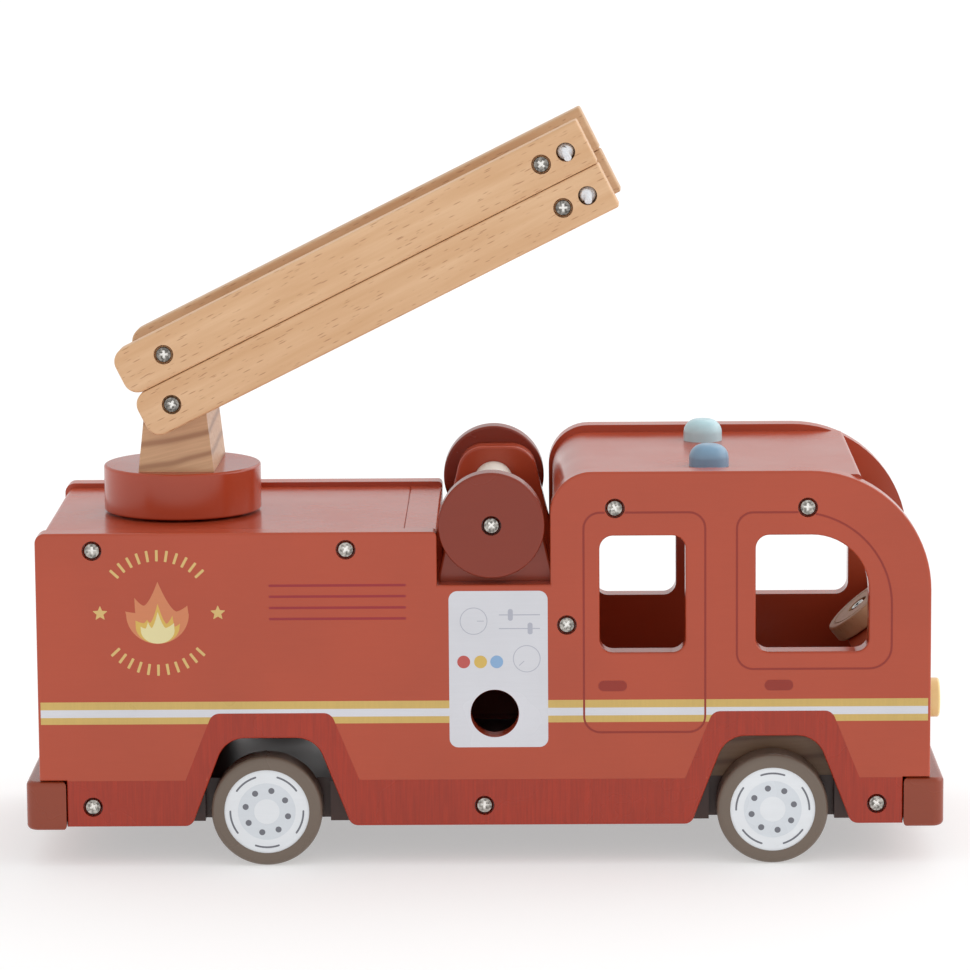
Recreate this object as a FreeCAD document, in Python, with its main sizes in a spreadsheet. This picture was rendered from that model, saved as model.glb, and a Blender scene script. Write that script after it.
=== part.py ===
import FreeCAD, Part
import os
import re

import Sketcher

# Toy fire engine of painted boards: two side panels joined by cross boards, a turntable with a folding
# ladder over the rear box, a hose reel in a bay behind the cab, and two axles of wheels under the base.
# +X is forward, +Z is up, the origin is on the floor under the middle of the toy.

DIMENSIONS = [
    # Body boards
    ("body_length", 360.0, "side panels, end to end"),
    ("body_width", 138.0, "over the outer faces of the side panels"),
    ("board", 10.0, "thickness of the painted boards"),
    ("panel_bottom", 16.5, "underside of the side panels above the floor"),
    ("box_top", 137.0, "top edge of the side panels along the rear box"),
    ("cab_top", 161.0, "top edge of the side panels along the cab"),
    ("box_front", -18.5, "front edge of the rear box"),
    ("cab_rear", 27.0, "rear edge of the cab"),
    ("bay_sill", 115.3, "panel edge under the reel"),
    ("cab_front_radius", 49.0, "quarter round over the windscreen"),
    ("cab_rear_radius", 17.0, "round of the cab's rear top corner"),
    ("box_rear_radius", 4.0, "round of the box's rear top corner"),
    ("small_radius", 2.0, "round of the box's front top corner"),
    ("edge_round", 1.0, "sanded edge of the outer faces"),
    ("inset", 1.6, "end boards behind the panel ends"),
    ("seam_round", 0.6, "top edges along the seam of box roof and bulkhead"),
    # Base and bumpers
    ("base_thickness", 16.5, "base board"),
    ("bumper_out", 5.8, "bumper past the panel ends"),
    ("bumper_depth", 16.4, "bumper along the toy"),
    ("bumper_bottom", 15.0, "underside of the bumpers"),
    ("bumper_height", 20.2, "bumper, up and down"),
    ("bumper_radius", 5.0, "outer upright corners of the bumpers"),
    ("bumper_side", 0.1, "bumper ends past the side panels, across"),
    ("bumper_edge", 2.0, "long edges of the bumpers"),
    ("bumper_gap", 0.4, "dark gap between bumper and panel"),
    # Wheel arches, wheels and axles
    ("rear_arch_x", -86.3, "middle of the rear arch"),
    ("front_arch_x", 115.9, "middle of the front arch"),
    ("arch_foot", 32.3, "half width of an arch at the panel's bottom edge"),
    ("arch_head", 18.2, "half width of an arch at its top, before rounding"),
    ("arch_top", 52.8, "top of the arches above the floor"),
    ("arch_radius", 11.5, "round of the arch's upper corners"),
    ("arch_lip_radius", 4.0, "round of the arch's lower corners"),
    ("rear_axle_x", -88.2, "rear axle"),
    ("front_axle_x", 116.5, "front axle"),
    ("tyre_radius", 22.5, "tyre, outside"),
    ("tyre_shoulder", 2.5, "round of the tyre's shoulders"),
    ("hub_radius", 17.2, "wooden wheel disc inside the tyre"),
    ("hub_recess", 0.4, "wheel disc behind the tyre's outer face"),
    ("wheel_width", 15.5, "tyre and wheel disc"),
    ("wheel_room", 3.0, "base board's notch past the tyre, all round"),
    ("axle_radius", 3.0, "steel axle"),
    ("axle_cover", 3.5, "wood left between the axle's end and the disc's face"),
    ("washer_radius", 6.0, "axle washers"),
    ("washer_thickness", 0.6, "axle washers"),
    # Windows and hose port
    ("window_bottom", 87.3, "lower edge of the cab windows"),
    ("window_top", 135.0, "upper edge of the cab windows"),
    ("rear_window_x", 46.8, "rear edge of the rear window"),
    ("rear_window_length", 34.5, "rear window, along the toy"),
    ("front_window_x", 109.5, "rear edge of the front window"),
    ("front_window_length", 45.5, "front window, along the toy"),
    ("window_radius", 5.4, "corners of the windows"),
    ("front_window_radius", 23.0, "large upper front corner of the front window"),
    ("port_x", 4.4, "hose port"),
    ("port_z", 62.7, "hose port"),
    ("port_radius", 9.75, "hose port"),
    # Roofs and cross boards
    ("box_roof_drop", 2.0, "box roof below the panel tops"),
    ("bulkhead_thickness", 13.5, "board between box and reel bay"),
    ("cab_roof_drop", 3.0, "cab roof below the panel tops"),
    ("cab_roof_thickness", 16.0, "cab roof board"),
    ("cab_roof_front", 152.5, "front edge of the cab roof"),
    ("cab_roof_radius", 14.0, "rear round of the cab roof"),
    ("front_wall_top", 94.8, "top of the board under the windscreen"),
    ("bay_floor_top", 105.0, "floor of the reel bay"),
    ("block_length", 57.0, "wooden block over the front axle"),
    ("block_height", 19.0, "wooden block over the front axle"),
    # Dashboard and steering wheel
    ("dash_tilt", 40.0, "slope of the dashboard, in degrees"),
    ("dash_top", 94.8, "dashboard where it meets the front wall"),
    ("dash_length", 18.0, "dashboard, measured level"),
    ("dash_thickness", 10.0, "dashboard"),
    ("dash_half", 32.0, "half width of the dashboard"),
    ("steering_radius", 15.5, "steering wheel"),
    ("steering_thickness", 7.5, "steering wheel"),
    ("steering_back", 8.4, "steering wheel's middle behind the front wall, level"),
    ("steering_gap", 0.5, "steering wheel off the dashboard"),
    ("steering_sink", 4.8, "recess round the steering wheel's screw"),
    ("groove_radius", 11.6, "ring groove in the steering wheel's face"),
    ("groove_width", 0.8, "ring groove in the steering wheel's face"),
    ("groove_depth", 0.6, "ring groove in the steering wheel's face"),
    # Lamps
    ("headlamp_radius", 8.0, "headlamps"),
    ("headlamp_length", 6.9, "headlamps"),
    ("headlamp_y", 45.0, "headlamps from the middle"),
    ("headlamp_z", 63.5, "headlamps above the floor"),
    ("beacon_x", 91.9, "roof beacons"),
    ("beacon_y", 35.0, "roof beacons from the middle"),
    ("beacon_radius", 8.1, "roof beacons"),
    ("beacon_skirt", 3.2, "straight side of a beacon"),
    ("beacon_dome", 5.8, "rounded top of a beacon"),
    # Hose reel
    ("reel_x", 3.5, "reel axis"),
    ("reel_z", 139.4, "reel axis"),
    ("reel_disc_radius", 21.4, "reel discs"),
    ("reel_core_radius", 8.2, "reel core"),
    ("spindle_radius", 5.0, "wooden rod through the reel"),
    ("spindle_cover", 4.0, "disc left outside the rod's end, before the screw's recess"),
    ("bracket_thickness", 12.0, "reel brackets"),
    ("bracket_top", 153.8, "reel brackets"),
    ("bracket_knee", 118.0, "height where the brackets start to narrow"),
    ("bracket_head", 14.5, "half width of a bracket at its top, before rounding"),
    ("bracket_radius", 11.0, "round of the bracket's upper corners"),
    ("reel_gap", 0.5, "play beside the turning reel parts"),
    # Turntable and mast
    ("turntable_x", -125.1, "turntable axis"),
    ("turntable_radius", 32.5, "turntable"),
    ("turntable_thickness", 19.0, "turntable"),
    ("spacer_radius", 12.0, "washer under the turntable"),
    ("spacer_thickness", 1.0, "washer under the turntable"),
    ("mast_foot", 15.5, "half width of the mast at its foot"),
    ("mast_head", 11.0, "half width of the mast at its top, before rounding"),
    ("mast_depth", 50.0, "mast across the toy"),
    ("mast_over_pivot", 10.0, "mast above the ladder pivot"),
    ("pivot_height", 29.75, "ladder pivot above the turntable"),
    ("turntable_turn", -1.7, "how far the mast and the ladder are turned from straight ahead, in degrees"),
    ("bolt_radius", 3.0, "turntable bolt"),
    ("bolt_head_radius", 6.5, "turntable bolt"),
    ("bolt_head_height", 3.5, "turntable bolt"),
    ("bolt_reach", 18.0, "turntable bolt inside the mast"),
    # Ladder
    ("ladder_angle", 26.55, "slope of the ladder, in degrees"),
    ("rail_width", 19.4, "ladder rails, up and down"),
    ("rail_thickness", 12.0, "ladder rails, across"),
    ("rail_foot", 13.5, "rail behind the pivot"),
    ("rail_reach", 198.6, "rail ahead of the pivot"),
    ("rail_foot_radius", 6.0, "round of the rail's foot"),
    ("rail_edge", 1.0, "sanded edge of the rails"),
    ("mast_gap", 1.0, "play between mast and rails"),
    ("fold_gap", 0.2, "gap between the folded sections"),
    ("rung_radius", 3.5, "rungs"),
    ("rung_depth", 6.0, "rung ends inside the rails"),
    ("rung_first", 38.0, "first rung ahead of the pivot"),
    ("rung_pitch", 35.0, "from rung to rung"),
    ("tie_radius", 4.0, "screwed cross rods"),
    ("tie_tip", 20.5, "screwed cross rod from the rail's tip"),
    ("tie_foot", 20.0, "screwed cross rod from the upper section's foot"),
    ("cord_tip", 9.5, "cord hole from the rail's tip"),
    ("cord_pocket_radius", 3.85, "pocket for the cord's knot"),
    ("cord_pocket_depth", 6.5, "pocket for the cord's knot"),
    ("cord_radius", 1.7, "elastic cord"),
    ("knot_radius", 3.3, "knots of the elastic cord"),
    ("cord_bow", 4.0, "elastic cord inside the rails, off their inner faces"),
    # Screws and fits
    ("head_radius", 3.5, "screw head"),
    ("head_height", 2.4, "screw head"),
    ("head_flat", 2.9, "flat top of a screw head"),
    ("sink_radius", 4.0, "screw head's recess"),
    ("sink_depth", 2.8, "screw head's recess"),
    ("screw_radius", 1.5, "screw shank"),
    ("screw_length", 20.0, "screws of the boards and the ladder"),
    ("steering_screw_length", 11.0, "steering wheel's screw"),
    ("cross_half", 1.7, "half length of the cross recess in a screw head"),
    ("cross_width", 1.0, "width of the cross recess"),
    ("cross_depth", 1.3, "depth of the cross recess"),
    ("fit_gap", 0.02, "radial gap of parts that are glued or screwed"),
    ("run_gap", 0.08, "radial gap of parts that turn"),
    ("screw_play", 0.3, "turning part behind a screw head"),
]

# Screws through each side panel: their places as seen from the side, and the board that they hold.
ROOF_SCREWS = [("-157", "box_top - box_roof_drop - board / 2"), ("-55", "box_top - box_roof_drop - board / 2")]
CAB_ROOF_Z = "cab_top - cab_roof_drop - cab_roof_thickness + 4.2"
CAB_ROOF_SCREWS = [("53", CAB_ROOF_Z), ("130.3", CAB_ROOF_Z)]
CAB_WALL_SCREWS = [("cab_rear + inset + board / 2", "98.8")]
BASE_Z = "panel_bottom + base_thickness / 2"
BASE_SCREWS = [("-body_length / 2 + 21.5", BASE_Z), ("0", BASE_Z), ("body_length / 2 - 21.5", BASE_Z)]
PANEL_SCREWS = ROOF_SCREWS + CAB_ROOF_SCREWS + CAB_WALL_SCREWS + BASE_SCREWS
RUNG_COUNT = 4

SIDES = {"right": -1, "left": 1}
NORMAL_AXIS = {"XY": "z", "XZ": "y", "YZ": "x"}

doc = FreeCAD.newDocument("fire_engine")
sheet = doc.addObject("Spreadsheet::Sheet", "Dimensions")
for row, (alias, number, note) in enumerate(DIMENSIONS, start=1):
    sheet.set("A%d" % row, note)
    sheet.set("B%d" % row, str(number))
    sheet.setAlias("B%d" % row, alias)
doc.recompute()

ALIASES = {alias for alias, number, note in DIMENSIONS}
pieces = []


def tie(text):
    """The expression with each named size read from the sheet."""
    return re.sub(r"[a-z]\w*", lambda word: ("Dimensions." if word.group() in ALIASES else "") + word.group(), text)


def size(text):
    """The present value of an expression over the named sizes."""
    return float(sheet.evalExpression(tie(text)))


def start_body(label, export=True):
    """An empty PartDesign body, which is one piece of the toy."""
    body = doc.addObject("PartDesign::Body", label)
    body.Label = label
    if export:
        pieces.append(body)
    return body


def start_sketch(body, plane, at):
    """A sketch parallel to one of the body's own origin planes, at a place along that plane's axis."""
    sketch = body.newObject("Sketcher::SketchObject", body.Label + "_sketch")
    support = next(item for item in body.Origin.OriginFeatures if item.Role == plane + "_Plane")
    sketch.AttachmentSupport = [(support, "")]
    sketch.MapMode = "FlatFace"
    along = "-(%s)" % at if plane == "XZ" else at
    sketch.setExpression("AttachmentOffset.Base.z", tie(along))
    return sketch


def hold(sketch, kind, geometry, point, text):
    """Ties a coordinate of a sketch point, measured from the sketch's origin, to an expression."""
    index = sketch.addConstraint(Sketcher.Constraint(kind, -1, 1, geometry, point, size(text)))
    sketch.setExpression("Constraints[%d]" % index, tie(text))


def draw_polygon(sketch, points):
    """A closed outline of straight lines through points given as pairs of expressions."""
    spots = [FreeCAD.Vector(size(across), size(up), 0) for across, up in points]
    first = sketch.GeometryCount
    count = len(points)
    for index in range(count):
        sketch.addGeometry(Part.LineSegment(spots[index], spots[(index + 1) % count]), False)
    for index, (across, up) in enumerate(points):
        before = first + (index - 1) % count
        sketch.addConstraint(Sketcher.Constraint("Coincident", before, 2, first + index, 1))
        hold(sketch, "DistanceX", first + index, 1, across)
        hold(sketch, "DistanceY", first + index, 1, up)


def draw_circle(sketch, across, up, radius):
    """A circle whose middle and radius are expressions."""
    middle = FreeCAD.Vector(size(across), size(up), 0)
    circle = sketch.addGeometry(Part.Circle(middle, FreeCAD.Vector(0, 0, 1), size(radius)), False)
    hold(sketch, "DistanceX", circle, 3, across)
    hold(sketch, "DistanceY", circle, 3, up)
    index = sketch.addConstraint(Sketcher.Constraint("Radius", circle, size(radius)))
    sketch.setExpression("Constraints[%d]" % index, tie(radius))


def pad(body, sketch, length):
    """Extrudes a sketch along its normal."""
    feature = body.newObject("PartDesign::Pad", body.Label + "_pad")
    feature.Profile = sketch
    feature.setExpression("Length", tie(length))
    sketch.Visibility = False
    return feature


def prism(label, plane, points, low, high, export=True):
    """A body with a polygon outline in one plane, between two places along the plane's axis."""
    body = start_body(label, export)
    sketch = start_sketch(body, plane, high if plane == "XZ" else low)
    draw_polygon(sketch, points)
    pad(body, sketch, "(%s) - (%s)" % (high, low))
    return body


def board_piece(label, x, y, z):
    """A rectangular board between pairs of expressions along X, Y and Z."""
    corners = [(x[0], y[0]), (x[1], y[0]), (x[1], y[1]), (x[0], y[1])]
    return prism(label, "XY", corners, z[0], z[1])


def cut(body, plane, low, high, circles=(), polygons=()):
    """Removes circles and polygons between two places along the plane's axis, and checks that they cut."""
    doc.recompute()
    before = body.Shape.Volume
    sketch = start_sketch(body, plane, low if plane == "XZ" else high)
    for circle in circles:
        draw_circle(sketch, *circle)
    for polygon in polygons:
        draw_polygon(sketch, polygon)
    feature = body.newObject("PartDesign::Pocket", body.Label + "_pocket")
    feature.Profile = sketch
    feature.setExpression("Length", tie("(%s) - (%s)" % (high, low)))
    sketch.Visibility = False
    doc.recompute()
    if not body.Shape.Volume < before - 0.01:
        raise RuntimeError("a cut missed " + body.Label)


def revolve(body, profile, plane="XY"):
    """Turns a closed profile of (radius, place along the axis) about the sketch's upright axis."""
    sketch = start_sketch(body, plane, "0")
    draw_polygon(sketch, profile)
    feature = body.newObject("PartDesign::Revolution", body.Label + "_revolution")
    feature.Profile = sketch
    feature.ReferenceAxis = (sketch, ["V_Axis"])
    feature.Angle = 360
    sketch.Visibility = False


def corner_edges(axis, corners):
    """A test for straight edges along an axis that pass through the corners, given as expressions."""
    others = [name for name in "xyz" if name != axis]
    spots = [(size(first), size(second)) for first, second in corners]

    def wanted(edge):
        if not isinstance(edge.Curve, Part.Line) or abs(abs(getattr(edge.Curve.Direction, axis)) - 1) > 1e-6:
            return False
        place = [getattr(edge.Vertexes[0].Point, name) for name in others]
        return any(abs(place[0] - spot[0]) + abs(place[1] - spot[1]) < 1e-3 for spot in spots)

    return wanted


def face_edges(axis, place):
    """A test for edges that lie in a plane across an axis."""
    level = size(place)

    def wanted(edge):
        box = edge.BoundBox
        low = getattr(box, axis.upper() + "Min")
        high = getattr(box, axis.upper() + "Max")
        return abs(low - level) < 1e-3 and abs(high - level) < 1e-3

    return wanted


def round_off(body, radius, *tests):
    """Fillets the edges of the body that pass one of the tests."""
    doc.recompute()
    base = body.Tip
    names = []
    for index, edge in enumerate(base.Shape.Edges, start=1):
        if any(test(edge) for test in tests):
            names.append("Edge%d" % index)
    if not names:
        raise RuntimeError("no edge to round on " + body.Label)
    feature = body.newObject("PartDesign::Fillet", body.Label + "_fillet")
    feature.Base = (base, names)
    feature.setExpression("Radius", tie(radius))
    doc.recompute()


def place(body, x="0", y="0", z="0", tilt="0", turn="0"):
    """Puts a body's origin at a place, tilted up from +X about the cross axis and then turned about the upright one,
    by angles in degrees."""
    text = "placement(vector(%s; %s; %s); rotation(%s; -(%s); 0))" % (x, y, z, turn, tilt)
    body.setExpression("Placement", tie(text))


def feature_piece(label, shape, placement=None):
    """A piece made of copies or swept solids, which no single body holds."""
    piece = doc.addObject("Part::Feature", label)
    piece.Label = label
    piece.Shape = shape
    if placement:
        piece.Placement = placement
    pieces.append(piece)
    return piece


# Expressions that several pieces share
HALF = "body_length / 2"
OUTER = "body_width / 2"
INNER = "(body_width / 2 - board)"
BASE_TOP = "(panel_bottom + base_thickness)"
BUMPER_INNER = "(body_length / 2 + bumper_out - bumper_depth)"
BUMPER_TOP = "(bumper_bottom + bumper_height)"
BOX_ROOF = "(box_top - box_roof_drop)"
CAB_ROOF = "(cab_top - cab_roof_drop)"
CAB_WALL = "(cab_rear + inset)"
FRONT_WALL = "(body_length / 2 - inset - board)"
WHEEL_INNER = "(body_width / 2 - wheel_width)"
NOTCH_WALL = "(body_width / 2 - wheel_width - washer_thickness - 0.1)"
SCREW_GRIP = "(screw_length - board + sink_depth)"
DECK = "(box_top - box_roof_drop + spacer_thickness + turntable_thickness)"
PIVOT_Z = "(box_top - box_roof_drop + spacer_thickness + turntable_thickness + pivot_height)"
RAIL_INNER = "(mast_depth / 2 + mast_gap)"
RAIL_OUTER = "(mast_depth / 2 + mast_gap + rail_thickness)"
UPPER_LINE = "(rail_width + fold_gap)"
TIE_TIP_S = "(rail_reach - tie_tip)"
TIE_FOOT_S = "(tie_foot - rail_foot)"
CORD_S = "(rail_reach - cord_tip)"


def span(side, low, high):
    """The low and high places along Y of a piece that lies between two distances from the middle."""
    if side > 0:
        return low, high
    return "-(%s)" % high, "-(%s)" % low


def arch_points(centre):
    """The wheel arch's outline from its rear foot to its front foot."""
    rear = [("%s - arch_foot" % centre, "panel_bottom"), ("%s - arch_head" % centre, "arch_top")]
    front = [("%s + arch_head" % centre, "arch_top"), ("%s + arch_foot" % centre, "panel_bottom")]
    return rear + front


def window_points(rear, length):
    """A window's outline."""
    front = "%s + %s" % (rear, length)
    return [(rear, "window_bottom"), (front, "window_bottom"), (front, "window_top"), (rear, "window_top")]


def make_side_panel(name, side):
    """One side of the body: box, reel bay and cab in a single board, with arches, windows and hose port."""
    notch_x = "(%s - bumper_gap)" % BUMPER_INNER
    notch_top = "(%s + bumper_gap)" % BUMPER_TOP
    outline = [("-" + notch_x, "panel_bottom")]
    outline += arch_points("rear_arch_x") + arch_points("front_arch_x")
    outline += [(notch_x, "panel_bottom"), (notch_x, notch_top), (HALF, notch_top), (HALF, "cab_top")]
    outline += [("cab_rear", "cab_top"), ("cab_rear", "bay_sill"), ("box_front", "bay_sill")]
    outline += [("box_front", "box_top"), ("-" + HALF, "box_top"), ("-" + HALF, notch_top)]
    outline += [("-" + notch_x, notch_top)]
    low, high = span(side, INNER, OUTER)
    body = prism("side_panel_" + name, "XZ", outline, low, high)
    arches = arch_points("rear_arch_x") + arch_points("front_arch_x")
    round_off(body, "cab_front_radius", corner_edges("y", [(HALF, "cab_top")]))
    round_off(body, "cab_rear_radius", corner_edges("y", [("cab_rear", "cab_top")]))
    round_off(body, "box_rear_radius", corner_edges("y", [("-" + HALF, "box_top")]))
    round_off(body, "small_radius", corner_edges("y", [("box_front", "box_top")]))
    round_off(body, "arch_radius", corner_edges("y", [arches[1], arches[2], arches[5], arches[6]]))
    round_off(body, "arch_lip_radius", corner_edges("y", [arches[0], arches[3], arches[4], arches[7]]))
    rear_window = window_points("rear_window_x", "rear_window_length")
    front_window = window_points("front_window_x", "front_window_length")
    cut(body, "XZ", low, high, polygons=[rear_window, front_window])
    round_off(body, "front_window_radius", corner_edges("y", [front_window[2]]))
    small = rear_window + [front_window[0], front_window[1], front_window[3]]
    round_off(body, "window_radius", corner_edges("y", small))
    outer_face = low if side < 0 else high
    round_off(body, "edge_round", face_edges("y", outer_face))
    cut(body, "XZ", low, high, circles=[("port_x", "port_z", "port_radius")])
    holes = [(across, up, "screw_radius + fit_gap") for across, up in PANEL_SCREWS]
    cut(body, "XZ", low, high, circles=holes)
    sinks = [(across, up, "sink_radius") for across, up in PANEL_SCREWS]
    low, high = span(side, "body_width / 2 - sink_depth", OUTER)
    cut(body, "XZ", low, high, circles=sinks)


def pilot_holes(body, screws):
    """Holes for the side panels' screws in the ends of a cross board."""
    circles = [(across, up, "screw_radius + fit_gap") for across, up in screws]
    for side in SIDES.values():
        low, high = span(side, INNER + " - " + SCREW_GRIP, INNER)
        cut(body, "XZ", low, high, circles=circles)


def make_base():
    """The base board, notched beside the wheels and bored for the axles."""
    end = BUMPER_INNER
    right = [("-" + end, "-" + INNER)]
    for axle in ("rear_axle_x", "front_axle_x"):
        rear = "%s - tyre_radius - wheel_room" % axle
        front = "%s + tyre_radius + wheel_room" % axle
        right += [(rear, "-" + INNER), (rear, "-" + NOTCH_WALL), (front, "-" + NOTCH_WALL), (front, "-" + INNER)]
    right += [(end, "-" + INNER)]
    left = [(across, up[1:]) for across, up in reversed(right)]
    body = prism("base_board", "XY", right + left, "panel_bottom", BASE_TOP)
    bores = [(axle, "tyre_radius", "axle_radius + run_gap") for axle in ("rear_axle_x", "front_axle_x")]
    cut(body, "XZ", "-" + INNER, INNER, circles=bores)
    pilot_holes(body, BASE_SCREWS)


def make_bumper(label, end):
    """A bumper across the whole width, let into the panels' lower corners; end is -1 or 1."""
    outer = "(body_length / 2 + bumper_out)"
    x = (BUMPER_INNER, outer) if end > 0 else ("-" + outer, "-" + BUMPER_INNER)
    half = "(body_width / 2 + bumper_side)"
    body = board_piece(label, x, ("-" + half, half), ("bumper_bottom", BUMPER_TOP))
    tip = x[1] if end > 0 else x[0]
    round_off(body, "bumper_radius", corner_edges("z", [(tip, "-" + half), (tip, half)]))
    round_off(body, "bumper_edge", face_edges("z", BUMPER_TOP), face_edges("z", "bumper_bottom"))


def make_cross_boards():
    """The boards between the side panels: walls, roofs, floors and the wooden block."""
    width = ("-" + INNER, INNER)
    wall_foot = "(%s + bumper_gap)" % BUMPER_TOP
    rear = "-(body_length / 2 - inset)"
    board_piece("rear_wall", (rear, rear + " + board"), width, (wall_foot, BOX_ROOF + " - board"))
    bulkhead_rear = "box_front - bulkhead_thickness"
    roof = board_piece("box_roof", (rear, bulkhead_rear), width, (BOX_ROOF + " - board", BOX_ROOF))
    round_off(roof, "small_radius", corner_edges("y", [(rear, BOX_ROOF)]))
    round_off(roof, "seam_round", corner_edges("y", [(bulkhead_rear, BOX_ROOF)]))
    cut(roof, "XY", BOX_ROOF + " - board", BOX_ROOF, circles=[("turntable_x", "0", "bolt_radius + run_gap")])
    pilot_holes(roof, ROOF_SCREWS)
    bulkhead = board_piece("bulkhead", (bulkhead_rear, "box_front"), width, (BASE_TOP, BOX_ROOF))
    round_off(bulkhead, "edge_round", corner_edges("y", [("box_front", BOX_ROOF)]))
    round_off(bulkhead, "seam_round", corner_edges("y", [(bulkhead_rear, BOX_ROOF)]))
    board_piece("bay_floor", ("box_front", CAB_WALL), width, ("bay_floor_top - board", "bay_floor_top"))
    roof_bottom = CAB_ROOF + " - cab_roof_thickness"
    wall = board_piece("cab_rear_wall", (CAB_WALL, CAB_WALL + " + board"), width, (BASE_TOP, roof_bottom))
    pilot_holes(wall, CAB_WALL_SCREWS)
    cab_roof = board_piece("cab_roof", (CAB_WALL, "cab_roof_front"), width, (roof_bottom, CAB_ROOF))
    round_off(cab_roof, "cab_roof_radius", corner_edges("y", [(CAB_WALL, CAB_ROOF)]))
    round_off(cab_roof, "small_radius", corner_edges("y", [("cab_roof_front", CAB_ROOF)]))
    pilot_holes(cab_roof, CAB_ROOF_SCREWS)
    front = board_piece("front_wall", (FRONT_WALL, FRONT_WALL + " + board"), width, (wall_foot, "front_wall_top"))
    round_off(front, "small_radius", corner_edges("y", [(FRONT_WALL + " + board", "front_wall_top")]))
    block_x = ("front_axle_x - block_length / 2", "front_axle_x + block_length / 2")
    block_y = ("-" + NOTCH_WALL, NOTCH_WALL)
    board_piece("axle_block", block_x, block_y, (BASE_TOP, BASE_TOP + " + block_height"))


def make_dashboard():
    """A sloping board behind the front wall, and the steering wheel that turns on it."""
    rear = FRONT_WALL + " - dash_length"
    rear_top = "(dash_top - dash_length * tan(dash_tilt))"
    outline = [
        (FRONT_WALL, "dash_top"),
        (rear, rear_top),
        (rear + " + dash_thickness * sin(dash_tilt)", rear_top + " - dash_thickness * cos(dash_tilt)"),
        (FRONT_WALL, "dash_top - dash_thickness / cos(dash_tilt)"),
    ]
    dash = prism("dashboard", "XZ", outline, "-dash_half", "dash_half")
    round_off(dash, "edge_round", corner_edges("y", [outline[1]]))
    # The screw's hole is drilled square to the slope, in the wheel's own tilted frame.
    seat_x = FRONT_WALL + " - steering_back"
    seat_z = "dash_top - steering_back * tan(dash_tilt)"
    drill = start_body("steering_drill", export=False)
    revolve(drill, [("0", "-dash_thickness"), ("screw_radius + fit_gap", "-dash_thickness"),
                    ("screw_radius + fit_gap", "1"), ("0", "1")], "XZ")
    place(drill, seat_x, "0", seat_z, "dash_tilt")
    bored = doc.addObject("Part::Cut", "dashboard_bored")
    bored.Base = dash
    bored.Tool = drill
    pieces[pieces.index(dash)] = bored
    dash.Label = "dashboard_blank"
    bored.Label = "dashboard"
    wheel = start_body("steering_wheel")
    bore = "screw_radius + run_gap"
    floor = "steering_gap + steering_thickness - sink_depth"
    top = "steering_gap + steering_thickness"
    groove_floor = top + " - groove_depth"
    profile = [(bore, "steering_gap"), ("steering_radius", "steering_gap"), ("steering_radius", top)]
    profile += [("groove_radius + groove_width", top), ("groove_radius + groove_width", groove_floor)]
    profile += [("groove_radius", groove_floor), ("groove_radius", top)]
    profile += [("steering_sink", top), ("steering_sink", floor), (bore, floor)]
    revolve(wheel, profile, "XZ")
    round_off(wheel, "edge_round", lambda edge: edge.BoundBox.XLength > 2 * size("steering_radius") - 1e-3)
    place(wheel, seat_x, "0", seat_z, "dash_tilt")
    screw = make_screw("steering_screw_pattern", "steering_screw_length")
    seat = FreeCAD.Vector(0, 0, size(floor + " + screw_play"))
    stand = FreeCAD.Placement(seat, FreeCAD.Rotation(FreeCAD.Vector(1, 0, 0), -90))
    feature_piece("steering_screw", copies(screw, [wheel.Placement.multiply(stand)]))


def make_screw(label, length):
    """A pan-head screw with a cross recess: the head points to -Y and its underside is at Y = 0."""
    body = start_body(label, export=False)
    profile = [("0", "-head_height"), ("head_flat", "-head_height"), ("head_radius", "-head_height * 0.6")]
    profile += [("head_radius", "0"), ("screw_radius", "0"), ("screw_radius", length + " - 2"), ("0", length)]
    revolve(body, profile)
    bars = [("-cross_half", "-cross_width / 2"), ("cross_half", "-cross_width / 2")]
    bars += [("cross_half", "cross_width / 2"), ("-cross_half", "cross_width / 2")]
    upright = [(up, across) for across, up in bars]
    for outline in (bars, upright):
        cut(body, "XZ", "-head_height", "-head_height + cross_depth", polygons=[outline])
    return body


def copies(body, placements):
    """A compound of a body's shape at several places."""
    doc.recompute()
    return Part.makeCompound([body.Shape.transformed(spot.toMatrix()) for spot in placements])


def screw_placement(x, y, z, side, spin, tilt=0):
    """Where a screw goes: its head's underside at a place, facing one side, its recess turned by spin."""
    turn = FreeCAD.Rotation(FreeCAD.Vector(0, 0, 1), 180 if side > 0 else 0)
    twist = FreeCAD.Rotation(FreeCAD.Vector(0, 1, 0), spin - tilt)
    return FreeCAD.Placement(FreeCAD.Vector(x, y, z), turn.multiply(twist))


def make_panel_screws(screw):
    """All the screws of both side panels."""
    spots = []
    for side in SIDES.values():
        for index, (across, up) in enumerate(PANEL_SCREWS):
            seat = side * size("body_width / 2 - sink_depth")
            spots.append(screw_placement(size(across), seat, size(up), side, 31 * index))
    feature_piece("panel_screws", copies(screw, spots))


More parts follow.
